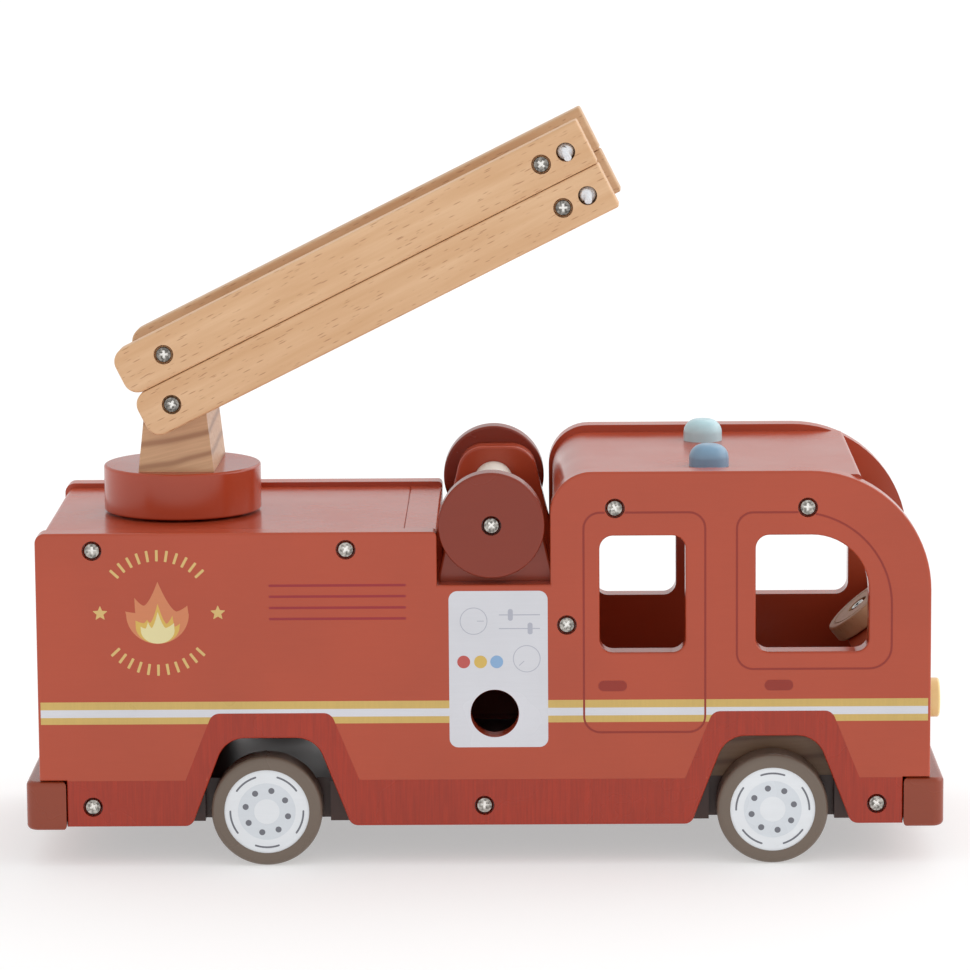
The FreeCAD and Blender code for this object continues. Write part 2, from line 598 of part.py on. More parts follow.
def make_wheels(label, axle):
    """A steel axle that turns in the base, with a wooden disc and a tyre pressed on each end."""
    end = "(body_width / 2 - hub_recess - axle_cover)"
    rod = start_body(label + "_axle")
    sketch = start_sketch(rod, "XZ", end)
    draw_circle(sketch, "0", "0", "axle_radius")
    pad(rod, sketch, "2 * " + end)
    place(rod, axle, "0", "tyre_radius")
    washers = start_body(label + "_washer_pattern", export=False)
    profile = [("axle_radius + run_gap", "0"), ("washer_radius", "0")]
    profile += [("washer_radius", "washer_thickness"), ("axle_radius + run_gap", "washer_thickness")]
    revolve(washers, profile)
    spots = []
    for name, side in SIDES.items():
        low, high = WHEEL_INNER, "(body_width / 2 - hub_recess)"
        bore = "axle_radius + fit_gap"
        sign = "-" if side < 0 else ""
        disc = start_body("%s_wheel_disc_%s" % (label, name))
        profile = [("0", sign + end), ("0", sign + high), ("hub_radius", sign + high), ("hub_radius", sign + low)]
        profile += [(bore, sign + low), (bore, sign + end)]
        revolve(disc, profile)
        place(disc, axle, "0", "tyre_radius")
        tyre = start_body("%s_tyre_%s" % (label, name))
        inside = "hub_radius + fit_gap"
        profile = [(inside, sign + low), ("tyre_radius", sign + low), ("tyre_radius", sign + OUTER)]
        profile += [(inside, sign + OUTER)]
        revolve(tyre, profile)
        round_off(tyre, "tyre_shoulder", lambda edge: edge.BoundBox.XLength > 2 * size("tyre_radius") - 1e-3)
        place(tyre, axle, "0", "tyre_radius")
        wall = size(NOTCH_WALL) if side > 0 else -size(NOTCH_WALL + " + washer_thickness")
        spots.append(FreeCAD.Placement(FreeCAD.Vector(size(axle), wall, size("tyre_radius")), FreeCAD.Rotation()))
    feature_piece(label + "_axle_washers", copies(washers, spots))


def make_lamps():
    """Round headlamps on the front wall and domed beacons on the cab roof."""
    start = FRONT_WALL + " + board"
    for name, side in SIDES.items():
        lamp = start_body("headlamp_" + name)
        sketch = start_sketch(lamp, "YZ", start)
        draw_circle(sketch, "%d * headlamp_y" % side, "headlamp_z", "headlamp_radius")
        pad(lamp, sketch, "headlamp_length")
        round_off(lamp, "edge_round", face_edges("x", start + " + headlamp_length"))
        beacon = start_body("beacon_" + name)
        sketch = start_sketch(beacon, "XY", CAB_ROOF)
        draw_circle(sketch, "beacon_x", "%d * beacon_y" % side, "beacon_radius")
        pad(beacon, sketch, "beacon_skirt + beacon_dome")
        round_off(beacon, "beacon_dome", face_edges("z", CAB_ROOF + " + beacon_skirt + beacon_dome"))


def make_reel(screw):
    """The hose reel: brackets in the bay, and discs, core and rod that turn together."""
    middle = "((box_front + %s) / 2)" % CAB_WALL
    foot = "((%s - box_front) / 2 - reel_gap)" % CAB_WALL
    right = [("bracket_head", "bracket_top"), (foot, "bracket_knee"), (foot, "bay_floor_top")]
    outline = [("%s - %s" % (middle, across), up) for across, up in right]
    outline += [("%s + %s" % (middle, across), up) for across, up in reversed(right)]
    bracket_outer = "(body_width / 2 - board - reel_gap)"
    bracket_inner = "(body_width / 2 - board - reel_gap - bracket_thickness)"
    rod_end = "(body_width / 2 - spindle_cover)"
    spots = []
    for name, side in SIDES.items():
        low, high = span(side, bracket_inner, bracket_outer)
        bracket = prism("reel_bracket_" + name, "XZ", outline, low, high)
        round_off(bracket, "bracket_radius", corner_edges("y", [outline[0], outline[-1]]))
        round_off(bracket, "edge_round", face_edges("y", low), face_edges("y", high))
        cut(bracket, "XZ", low, high, circles=[("reel_x", "reel_z", "spindle_radius + run_gap")])
        low, high = span(side, INNER, OUTER)
        disc = start_body("reel_disc_" + name)
        sketch = start_sketch(disc, "XZ", high)
        draw_circle(sketch, "reel_x", "reel_z", "reel_disc_radius")
        pad(disc, sketch, "board")
        round_off(disc, "edge_round", face_edges("y", low), face_edges("y", high))
        low, high = span(side, INNER, rod_end)
        cut(disc, "XZ", low, high, circles=[("reel_x", "reel_z", "spindle_radius + fit_gap")])
        low, high = span(side, INNER, OUTER)
        cut(disc, "XZ", low, high, circles=[("reel_x", "reel_z", "screw_radius + fit_gap")])
        low, high = span(side, "body_width / 2 - sink_depth", OUTER)
        cut(disc, "XZ", low, high, circles=[("reel_x", "reel_z", "sink_radius")])
        seat = side * size("body_width / 2 - sink_depth")
        spots.append(screw_placement(size("reel_x"), seat, size("reel_z"), side, 45))
    core_end = "(%s - reel_gap)" % bracket_inner
    axis = [("reel_x", "reel_z")]
    core = start_body("reel_core")
    sketch = start_sketch(core, "XZ", core_end)
    draw_circle(sketch, "reel_x", "reel_z", "reel_core_radius")
    draw_circle(sketch, "reel_x", "reel_z", "spindle_radius + fit_gap")
    pad(core, sketch, "2 * " + core_end)
    rod = start_body("reel_spindle")
    sketch = start_sketch(rod, "XZ", rod_end)
    draw_circle(sketch, "reel_x", "reel_z", "spindle_radius")
    pad(rod, sketch, "2 * " + rod_end)
    for side in SIDES.values():
        low, high = span(side, "body_width / 2 - sink_depth - screw_length", rod_end)
        circles = [(across, up, "screw_radius + fit_gap") for across, up in axis]
        cut(rod, "XZ", low, high, circles=circles)
    feature_piece("reel_screws", copies(screw, spots))


def mast_frame():
    """The mast's frame in the toy's frame: at the ladder pivot, turned with the mast."""
    turn = FreeCAD.Rotation(FreeCAD.Vector(0, 0, 1), size("turntable_turn"))
    return FreeCAD.Placement(FreeCAD.Vector(size("turntable_x"), 0, size(PIVOT_Z)), turn)


def make_turntable(screw):
    """The turntable, its mast and the bolt that holds them to the box roof."""
    axis_circle = ("turntable_x", "0")
    spacer = start_body("turntable_washer")
    sketch = start_sketch(spacer, "XY", BOX_ROOF)
    draw_circle(sketch, *axis_circle, "spacer_radius")
    draw_circle(sketch, *axis_circle, "bolt_radius + run_gap")
    pad(spacer, sketch, "spacer_thickness")
    bottom = "(%s + spacer_thickness)" % BOX_ROOF
    disc = start_body("turntable_disc")
    sketch = start_sketch(disc, "XY", bottom)
    draw_circle(sketch, *axis_circle, "turntable_radius")
    pad(disc, sketch, "turntable_thickness")
    round_off(disc, "edge_round", face_edges("z", DECK), face_edges("z", bottom))
    cut(disc, "XY", bottom, DECK, circles=[("turntable_x", "0", "bolt_radius + fit_gap")])
    top = PIVOT_Z + " + mast_over_pivot"
    outline = [("turntable_x - mast_foot", DECK), ("turntable_x + mast_foot", DECK)]
    outline += [("turntable_x + mast_head", top), ("turntable_x - mast_head", top)]
    mast = prism("mast", "XZ", outline, "-mast_depth / 2", "mast_depth / 2")
    round_off(mast, "mast_head * 0.85", corner_edges("y", outline[2:]))
    cut(mast, "XY", DECK, DECK + " + bolt_reach", circles=[("turntable_x", "0", "bolt_radius + fit_gap")])
    shift = ("turntable_x * (1 - cos(turntable_turn))", "-turntable_x * sin(turntable_turn)")
    place(mast, *shift, turn="turntable_turn")
    grip = "(screw_length - rail_thickness + sink_depth - screw_play - mast_gap)"
    spots = []
    for side in SIDES.values():
        low, high = span(side, "mast_depth / 2 - " + grip, "mast_depth / 2")
        cut(mast, "XZ", low, high, circles=[("turntable_x", PIVOT_Z, "screw_radius + fit_gap")])
        seat = side * size(RAIL_OUTER + " - sink_depth + screw_play")
        spots.append(mast_frame().multiply(screw_placement(0, seat, 0, side, 20)))
    feature_piece("pivot_screws", copies(screw, spots))
    under = BOX_ROOF + " - board"
    washer = start_body("bolt_washer")
    sketch = start_sketch(washer, "XY", under + " - spacer_thickness")
    draw_circle(sketch, *axis_circle, "spacer_radius")
    draw_circle(sketch, *axis_circle, "bolt_radius + run_gap")
    pad(washer, sketch, "spacer_thickness")
    head_top = "(%s - spacer_thickness - screw_play)" % under
    bolt = start_body("turntable_bolt")
    tip = DECK + " + bolt_reach"
    profile = [("0", head_top + " - bolt_head_height"), ("bolt_head_radius", head_top + " - bolt_head_height")]
    profile += [("bolt_head_radius", head_top), ("bolt_radius", head_top), ("bolt_radius", tip), ("0", tip)]
    revolve(bolt, profile, "XZ")
    place(bolt, "turntable_x")


def rung_places():
    """Places of the glued rungs along a section, from the pivot."""
    return ["rung_first + %d * rung_pitch" % index for index in range(RUNG_COUNT)]


def make_rail(label, side, line, screws, pivot):
    """A ladder rail in the ladder's own frame: X along it from the pivot, Z square to it; line is its middle."""
    low_edge, high_edge = line + " - rail_width / 2", line + " + rail_width / 2"
    corners = [("-rail_foot", low_edge), ("rail_reach", low_edge), ("rail_reach", high_edge), ("-rail_foot", high_edge)]
    low, high = span(side, RAIL_INNER, RAIL_OUTER)
    rail = prism(label, "XZ", corners, low, high)
    round_off(rail, "rail_foot_radius", corner_edges("y", [corners[0], corners[3]]))
    round_off(rail, "rail_edge", corner_edges("y", [corners[1], corners[2]]))
    round_off(rail, "rail_edge", face_edges("y", low), face_edges("y", high))
    sinks = [(place_along, line, "sink_radius") for place_along in screws]
    low, high = span(side, RAIL_OUTER + " - sink_depth", RAIL_OUTER)
    cut(rail, "XZ", low, high, circles=sinks)
    low, high = span(side, RAIL_OUTER + " - cord_pocket_depth", RAIL_OUTER)
    cut(rail, "XZ", low, high, circles=[(CORD_S, line, "cord_pocket_radius")])
    low, high = span(side, RAIL_INNER, RAIL_OUTER)
    through = [(CORD_S, line, "cord_radius + fit_gap")]
    through += [(spot, line, "screw_radius + " + ("run_gap" if spot == pivot else "fit_gap")) for spot in screws]
    cut(rail, "XZ", low, high, circles=through)
    low, high = span(side, RAIL_INNER, RAIL_INNER + " + rung_depth")
    cut(rail, "XZ", low, high, circles=[(spot, line, "rung_radius + fit_gap") for spot in rung_places()])
    place(rail, "turntable_x", "0", PIVOT_Z, "ladder_angle", "turntable_turn")
    return rail


def ladder_placement():
    """The ladder's frame in the toy's frame."""
    tilt = FreeCAD.Rotation(FreeCAD.Vector(0, -1, 0), size("ladder_angle"))
    return mast_frame().multiply(FreeCAD.Placement(FreeCAD.Vector(0, 0, 0), tilt))


def rod_between(along, up, half, radius):
    """A round rod across the ladder, in the ladder's frame."""
    start = FreeCAD.Vector(along, -half, up)
    return Part.makeCylinder(radius, 2 * half, start, FreeCAD.Vector(0, 1, 0))


def make_rungs(label, line, ties):
    """The glued rungs of a section, and its screwed cross rods with their pilot holes."""
    up = size(line)
    half = size(RAIL_INNER + " + rung_depth")
    rods = [rod_between(size(spot), up, half, size("rung_radius")) for spot in rung_places()]
    half = size(RAIL_INNER)
    grip = size("screw_length - rail_thickness + sink_depth")
    for spot in ties:
        rod = rod_between(size(spot), up, half, size("tie_radius"))
        for side in SIDES.values():
            start = FreeCAD.Vector(size(spot), side * half, up)
            inward = FreeCAD.Vector(0, -side, 0)
            rod = rod.cut(Part.makeCylinder(size("screw_radius + fit_gap"), grip, start, inward))
        rods.append(rod)
    return feature_piece(label, Part.makeCompound(rods), ladder_placement())


def make_section_screws(label, screw, line, ties):
    """The screws in the ends of a section's cross rods."""
    frame = ladder_placement()
    spots = []
    for side in SIDES.values():
        for index, spot in enumerate(ties):
            seat = side * size(RAIL_OUTER + " - sink_depth")
            local = screw_placement(size(spot), seat, size(line), side, 25 + 40 * index)
            spots.append(frame.multiply(local))
    feature_piece(label, copies(screw, spots))


def make_knots(label, line):
    """The knotted ends of the elastic cord in a section's pockets, each with its stretch through the rail."""
    knots = []
    along, up = size(CORD_S), size(line)
    inner, outer = size(RAIL_INNER), size(RAIL_OUTER)
    floor = outer - size("cord_pocket_depth")
    middle = floor + size("knot_radius")
    for side in SIDES.values():
        start = FreeCAD.Vector(along, side * inner, up)
        stem = Part.makeCylinder(size("cord_radius"), middle - inner, start, FreeCAD.Vector(0, side, 0))
        tail_start = FreeCAD.Vector(along, side * middle, up)
        tail = Part.makeCylinder(size("cord_radius"), outer - middle, tail_start, FreeCAD.Vector(0, side, 0))
        ball = Part.makeSphere(size("knot_radius"), tail_start)
        knots.append(ball.fuse([stem, tail]).removeSplitter())
    feature_piece(label, Part.makeCompound(knots), ladder_placement())


def make_elastic():
    """The stretches of elastic cord inside the rails that tie the two sections together at the tip."""
    along, inner, bow = size(CORD_S), size(RAIL_INNER), size("cord_bow")
    top = size(UPPER_LINE)
    diagonal = 0.5 ** 0.5
    cords = []
    for side in SIDES.values():
        def spot(out, up):
            return FreeCAD.Vector(along, side * (inner - out), up)
        lower = Part.Arc(spot(0, 0), spot(bow * diagonal, bow * (1 - diagonal)), spot(bow, bow))
        run = Part.LineSegment(spot(bow, bow), spot(bow, top - bow))
        upper = Part.Arc(spot(bow, top - bow), spot(bow * diagonal, top - bow * (1 - diagonal)), spot(0, top))
        path = Part.Wire([lower.toShape(), run.toShape(), upper.toShape()])
        ring = Part.Wire([Part.makeCircle(size("cord_radius"), spot(0, 0), FreeCAD.Vector(0, 1, 0))])
        cords.append(path.makePipeShell([ring], True, True))
    feature_piece("elastic_cords", Part.makeCompound(cords), ladder_placement())


def make_ladder(screw):
    """Two equal sections, folded one on the other and tied at the tip by an elastic cord."""
    for name, side in SIDES.items():
        make_rail("lower_rail_" + name, side, "0", ["0", TIE_TIP_S], "0")
        make_rail("upper_rail_" + name, side, UPPER_LINE, [TIE_FOOT_S, TIE_TIP_S], None)
    make_rungs("lower_rungs", "0", [TIE_TIP_S])
    make_rungs("upper_rungs", UPPER_LINE, [TIE_FOOT_S, TIE_TIP_S])
    make_section_screws("lower_ladder_screws", screw, "0", [TIE_TIP_S])
    make_section_screws("upper_ladder_screws", screw, UPPER_LINE, [TIE_FOOT_S, TIE_TIP_S])
    make_knots("lower_cord_knots", "0")
    make_knots("upper_cord_knots", UPPER_LINE)
    make_elastic()


def check_document():
    """Stops the build if any object failed or any piece has no valid shape."""
    doc.recompute()
    for item in doc.Objects:
        if "Invalid" in item.State or "Error" in item.State:
            raise RuntimeError("%s is %s" % (item.Label, item.State))
    for piece in pieces:
        if piece.Shape.isNull() or not piece.Shape.isValid():
            raise RuntimeError("%s has no valid shape" % piece.Label)


def export_pieces():
    """Writes each piece to a STEP file named after it."""
    os.makedirs("parts", exist_ok=True)
    for piece in pieces:
        piece.Shape.exportStep("parts/%s.step" % piece.Label)
        print("%-26s %3d solids %10.1f mm3" % (piece.Label, len(piece.Shape.Solids), piece.Shape.Volume))
    print("%d pieces" % len(pieces))


for side_name, side_sign in SIDES.items():
    make_side_panel(side_name, side_sign)
make_base()
make_bumper("rear_bumper", -1)
make_bumper("front_bumper", 1)
make_cross_boards()
make_dashboard()
make_lamps()
make_wheels("rear", "rear_axle_x")
make_wheels("front", "front_axle_x")
board_screw = make_screw("screw_pattern", "screw_length")
make_panel_screws(board_screw)
make_reel(board_screw)
make_turntable(board_screw)
make_ladder(board_screw)
check_document()
export_pieces()
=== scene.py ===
import math

import bpy
import numpy as np
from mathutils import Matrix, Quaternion, Vector
from mathutils.geometry import tessellate_polygon


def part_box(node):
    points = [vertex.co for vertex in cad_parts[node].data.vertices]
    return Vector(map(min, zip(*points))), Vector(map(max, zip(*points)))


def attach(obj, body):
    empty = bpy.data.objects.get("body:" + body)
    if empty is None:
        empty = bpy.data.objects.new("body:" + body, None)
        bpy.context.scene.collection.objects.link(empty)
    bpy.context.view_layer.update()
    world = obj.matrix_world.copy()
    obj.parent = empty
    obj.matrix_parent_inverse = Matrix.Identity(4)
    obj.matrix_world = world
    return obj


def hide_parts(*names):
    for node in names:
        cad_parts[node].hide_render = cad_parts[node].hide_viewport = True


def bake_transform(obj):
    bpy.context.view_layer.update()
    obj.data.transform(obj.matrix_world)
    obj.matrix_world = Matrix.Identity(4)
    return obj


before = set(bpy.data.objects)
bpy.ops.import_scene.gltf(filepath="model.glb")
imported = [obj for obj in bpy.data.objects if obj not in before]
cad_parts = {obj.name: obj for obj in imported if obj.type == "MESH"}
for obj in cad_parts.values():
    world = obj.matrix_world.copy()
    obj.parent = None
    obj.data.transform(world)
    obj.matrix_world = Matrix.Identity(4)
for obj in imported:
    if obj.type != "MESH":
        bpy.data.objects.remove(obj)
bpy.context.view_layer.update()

bl_info = {
    "name": "Toy fire engine",
    "version": (1, 0, 0),
    "blender": (4, 5, 0),
    "location": "3D View > Sidebar > Fire engine",
    "description": "Paint, wood, prints and stage for a wooden toy fire engine",
    "category": "Object",
}

MM = 0.001
SUNK = 0.04 * MM
SIDES = {"right": -1, "left": 1}
BUMPERS = ("rear_bumper", "front_bumper")

# Corners of the pieces that the prints are placed from, in metres.
PANEL_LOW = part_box("side_panel_right")[0]
REAR_TYRE_LOW, REAR_TYRE_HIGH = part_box("rear_tyre_right")
FRONT_TYRE_LOW, FRONT_TYRE_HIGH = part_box("front_tyre_right")
DISC_LOW, DISC_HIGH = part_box("rear_wheel_disc_right")

# The ladder is turned with its turntable about the upright axis at TURN_X. Its rails' inner and outer faces lie
# this far from its middle.
TURN_X = sum(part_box("turntable_disc"), Vector()).x / 2
LADDER_TURN = math.radians(-1.7)
RAIL_INNER, RAIL_OUTER = 26.0 * MM, 38.0 * MM

# The skirt's level edge and the middles of its humps, in millimetres.
SKIRT_LEVEL = 35.5
REAR_HUMP, FRONT_HUMP = -85.7, 116.3


def linear(red, green, blue):
    """A display colour, 0 to 255, as linear light: ((c + 0.055) / 1.055) ** 2.4 above the toe, and c / 12.92
    below it."""
    share = np.array([red, green, blue]) / 255
    return tuple(np.where(share > 0.04045, ((share + 0.055) / 1.055) ** 2.4, share / 12.92).tolist())


def colour(title, text, red, green, blue):
    """A colour property with its default given as a display colour."""
    return bpy.props.FloatVectorProperty(
        name=title, description=text, subtype="COLOR", size=3, min=0, max=1, default=linear(red, green, blue))


def length(title, text, default):
    """A length property in metres."""
    return bpy.props.FloatProperty(
        name=title, description=text, default=default, min=0, unit="LENGTH", precision=5)


def light_level(title, text, default):
    """A property for how strong a light is."""
    return bpy.props.FloatProperty(name=title, description=text, default=default, min=0)


class EnginePaints(bpy.types.PropertyGroup):
    """Colours of the painted boards, wheels and lamps."""
    body: colour("Body", "Paint of the side panels, roofs and walls", 177, 71, 43)
    trim: colour("Bumpers", "Paint of the bumpers", 140, 58, 32)
    reel: colour("Reel discs", "Paint of the hose reel's discs", 130, 42, 18)
    # The base board is given a plain dark brown.
    base: colour("Base", "Dark brown of the base board", 60, 32, 22)
    tyre: colour("Tyres", "Paint of the tyres", 112, 98, 86)
    disc: colour("Wheel discs", "Paint of the wheel discs", 232, 236, 240)
    headlamp: colour("Headlamps", "Paint of the headlamps", 248, 222, 154)
    beacon_near: colour("Right beacon", "Paint of the beacon on the right", 127, 163, 190)
    beacon_far: colour("Left beacon", "Paint of the beacon on the left", 190, 224, 232)
    roughness: bpy.props.FloatProperty(
        name="Roughness", description="How dull the satin paint is", subtype="FACTOR", default=0.2, min=0,
        max=1)


class EngineWoods(bpy.types.PropertyGroup):
    """Colours of the bare wood, steel and elastic."""
    beech: colour("Beech", "Ladder rails, rungs and steering wheel", 228, 187, 146)
    beech_dark: colour("Beech, dark", "Darker growth of the beech", 214, 168, 124)
    fleck: colour("Flecks", "Short dark rays in the beech", 162, 108, 72)
    pine: colour("Pine", "Mast and axle block", 214, 174, 134)
    pine_dark: colour("Pine, dark", "Darker bands of the pine", 170, 126, 92)
    core: colour("Reel core", "Pale wood of the reel's core", 228, 222, 212)
    steel: colour("Steel", "Screws and axles", 158, 154, 148)
    # Painted shade: the left rails' beech colours are multiplied by this factor to darken them.
    shade: bpy.props.FloatProperty(
        name="Far rails", description="How much darker the left rails are", default=0.86, min=0, max=1)
    elastic: colour("Elastic", "Cord that ties the ladder's sections", 238, 240, 244)
    ladder_slope: bpy.props.FloatProperty(
        name="Grain slope", description="Slope that the grain of the ladder follows", subtype="ANGLE",
        default=math.radians(26.55))


class EnginePrints(bpy.types.PropertyGroup):
    """Colours and sizes of the prints."""
    skirt: colour("Skirt", "Band along the foot of the side panels", 161, 44, 17)
    gold: colour("Gold", "Outer stripes", 205, 173, 98)
    white: colour("White", "Middle stripe and control panel", 214, 215, 221)
    line: colour("Door lines", "Outlines and handles of the doors", 144, 38, 20)
    vent: colour("Vents", "Lines of the vents", 150, 30, 38)
    grey: colour("Grey", "Marks on the control panel", 178, 180, 192)
    dot_grey: colour("Dark grey", "Marks on the wheel discs", 112, 114, 122)
    rim: colour("Rim ring", "Tinted ring on the wheel discs", 218, 224, 230)
    red: colour("Red button", "First button of the control panel", 190, 84, 78)
    yellow: colour("Yellow button", "Second button of the control panel", 214, 180, 92)
    blue: colour("Blue button", "Third button of the control panel", 138, 174, 212)
    cream: colour("Cream", "Marks and stars of the badge", 214, 180, 112)
    flame: colour("Flame", "Outer flame of the badge", 208, 128, 86)
    flame_mid: colour("Middle flame", "Middle flame of the badge", 214, 176, 84)
    flame_core: colour("Flame core", "Inner flame of the badge", 226, 214, 160)
    ink: length("Ink", "Thickness of one layer of print", 0.00003)
    line_width: length("Line width", "Door and vent lines", 0.0008)


class EngineStage(bpy.types.PropertyGroup):
    """Camera, floor and light."""
    lens: bpy.props.FloatProperty(
        name="Lens", description="Focal length on a 36 mm sensor", default=174.0, min=1, unit="CAMERA")
    camera: bpy.props.FloatVectorProperty(
        name="Camera", description="Place of the camera", size=3, subtype="TRANSLATION", unit="LENGTH",
        default=(0.02138, -1.92037, 0.45536))
    target: bpy.props.FloatVectorProperty(
        name="Target", description="Point that the camera looks at", size=3, subtype="TRANSLATION",
        unit="LENGTH", default=(0.00035, 0.0, 0.14486))
    roll: bpy.props.FloatProperty(
        name="Roll", description="Turn of the camera about its line of sight", subtype="ANGLE",
        default=math.radians(-0.42))
    floor: colour("Floor", "Pale floor", 205, 205, 205)
    glow: light_level("Floor glow", "Light that the floor gives off", 0.43)
    world: light_level("Room light", "Strength of the even light", 0.84)
    back: light_level("Back light", "Soft light from behind", 0.55)
    side: light_level("Side light", "Soft light from the front end", 0.75)


# ---------------------------------------------------------------- shader helpers

def add(tree, kind, inputs=None, **settings):
    """A new node with its settings, its inputs linked to sockets or set to values."""
    node = tree.nodes.new(kind)
    for name, value in settings.items():
        setattr(node, name, value)
    for name, value in (inputs or {}).items():
        if isinstance(value, bpy.types.NodeSocket):
            tree.links.new(value, node.inputs[name])
        else:
            node.inputs[name].default_value = value
    return node


def rgba(rgb):
    """A colour with full alpha."""
    return (*rgb, 1.0)


def math_node(tree, operation, first, second=0.0, third=0.0):
    """The output of a Math node."""
    return add(tree, "ShaderNodeMath", {0: first, 1: second, 2: third}, operation=operation).outputs[0]


def spread(tree, value, low, high, to_low=0.0, to_high=1.0):
    """A value's range low to high, stretched to a new range and clamped."""
    inputs = {"Value": value, "From Min": low, "From Max": high, "To Min": to_low, "To Max": to_high}
    return add(tree, "ShaderNodeMapRange", inputs).outputs["Result"]


def mix(tree, factor, first, second, blend="MIX"):
    """A mix of two colours."""
    node = tree.nodes.new("ShaderNodeMix")
    node.data_type = "RGBA"
    node.blend_type = blend
    for socket, value in ((node.inputs[0], factor), (node.inputs[6], first), (node.inputs[7], second)):
        if isinstance(value, bpy.types.NodeSocket):
            tree.links.new(value, socket)
        else:
            socket.default_value = value
    return node.outputs[2]


def stretched(tree, vector, scale):
    """Coordinates scaled by axis, so that a small factor draws a pattern out along that axis."""
    return add(tree, "ShaderNodeVectorMath", {0: vector, 1: scale}, operation="MULTIPLY").outputs[0]


def noise(tree, vector, scale, detail=2.0, roughness=0.5):
    """The grey value of a Noise Texture."""
    inputs = {"Vector": vector, "Scale": scale, "Detail": detail, "Roughness": roughness}
    return add(tree, "ShaderNodeTexNoise", inputs).outputs["Fac"]


def new_group(name, inputs, outputs):
    """A shader node group with named sockets; returns it with its input and output nodes."""
    group = bpy.data.node_groups.new(name, "ShaderNodeTree")
    for title, kind in inputs:
        group.interface.new_socket(title, in_out="INPUT", socket_type=kind)
    for title, kind in outputs:
        group.interface.new_socket(title, in_out="OUTPUT", socket_type=kind)
    return group, group.nodes.new("NodeGroupInput"), group.nodes.new("NodeGroupOutput")


SURFACE_OUTPUTS = [
    ("Color", "NodeSocketColor"), ("Roughness", "NodeSocketFloat"), ("Height", "NodeSocketFloat")]


def satin_paint_group():
    """Brushed paint on sanded boards: faint mottling, raised grain along X and fine orange peel."""
    inputs = [("Vector", "NodeSocketVector"), ("Color", "NodeSocketColor"), ("Dullness", "NodeSocketFloat")]
    group, start, end = new_group("Satin paint", inputs, SURFACE_OUTPUTS)
    vector = start.outputs["Vector"]
    mottle = noise(group, vector, 26.0, 3.0)
    fibre = noise(group, stretched(group, vector, (0.05, 1.0, 1.0)), 1100.0, 2.0, 0.6)
    peel = noise(group, vector, 2600.0, 1.0)
    mottled = spread(group, mottle, 0.3, 0.7, 0.955, 1.03)
    tone = math_node(group, "ADD", mottled, spread(group, fibre, 0.3, 0.7, -0.012, 0.012))
    shade = add(group, "ShaderNodeCombineColor", {0: tone, 1: tone, 2: tone}).outputs[0]
    group.links.new(mix(group, 1.0, start.outputs["Color"], shade, "MULTIPLY"), end.inputs["Color"])
    dull = math_node(group, "ADD", start.outputs["Dullness"], spread(group, mottle, 0.25, 0.75, -0.04, 0.06))
    group.links.new(dull, end.inputs["Roughness"])
    height = math_node(group, "MULTIPLY_ADD", fibre, 0.3, math_node(group, "MULTIPLY", peel, 0.25))
    group.links.new(height, end.inputs["Height"])
    return group


def printed_streaks_group():
    """Ink laid in fine upright streaks: a streak pattern drawn out along Z, as light and dark lines."""
    inputs = [("Vector", "NodeSocketVector"), ("Color", "NodeSocketColor"), ("Amount", "NodeSocketFloat")]
    group, start, end = new_group("Printed streaks", inputs, [("Color", "NodeSocketColor")])
    streak = noise(group, stretched(group, start.outputs["Vector"], (1.0, 1.0, 0.04)), 1500.0, 3.0, 0.65)
    lift = math_node(group, "MULTIPLY", spread(group, streak, 0.35, 0.7, -1.0, 1.0), start.outputs["Amount"])
    tone = math_node(group, "ADD", lift, 1.0)
    shade = add(group, "ShaderNodeCombineColor", {0: tone, 1: tone, 2: tone}).outputs[0]
    group.links.new(mix(group, 1.0, start.outputs["Color"], shade, "MULTIPLY"), end.inputs["Color"])
    return group


def beech_group():
    """Beech sawn along X: slow tone changes, fine fibres, and short dark rays near the points of drawn-out
    cells."""
    inputs = [("Vector", "NodeSocketVector"), ("Light", "NodeSocketColor"), ("Dark", "NodeSocketColor"),
              ("Fleck", "NodeSocketColor")]
    group, start, end = new_group("Beech", inputs, SURFACE_OUTPUTS)
    vector = start.outputs["Vector"]
    figure = noise(group, stretched(group, vector, (0.08, 1.0, 1.0)), 160.0, 3.0, 0.6)
    fibre = noise(group, stretched(group, vector, (0.03, 1.0, 1.0)), 1500.0, 3.0, 0.6)
    cells = add(group, "ShaderNodeTexVoronoi", {
        "Vector": stretched(group, vector, (0.11, 1.0, 1.0)), "Scale": 1150.0, "Randomness": 1.0,
    }).outputs["Distance"]
    sparse = noise(group, stretched(group, vector, (0.25, 1.0, 1.0)), 700.0, 1.0)
    near = spread(group, cells, 0.16, 0.28, 1.0, 0.0)
    ray = math_node(group, "MULTIPLY", near, spread(group, sparse, 0.42, 0.5))
    tone = mix(group, spread(group, figure, 0.32, 0.68), start.outputs["Light"], start.outputs["Dark"])
    grained = mix(group, spread(group, fibre, 0.35, 0.75, 0.0, 0.3), tone, start.outputs["Dark"])
    flecked = mix(group, math_node(group, "MULTIPLY", ray, 0.62), grained, start.outputs["Fleck"])
    group.links.new(flecked, end.inputs["Color"])
    group.links.new(spread(group, fibre, 0.3, 0.7, 0.42, 0.56), end.inputs["Roughness"])
    raised, sunk = math_node(group, "MULTIPLY", fibre, 0.5), math_node(group, "MULTIPLY", ray, 0.5)
    height = math_node(group, "SUBTRACT", raised, sunk)
    group.links.new(height, end.inputs["Height"])
    return group


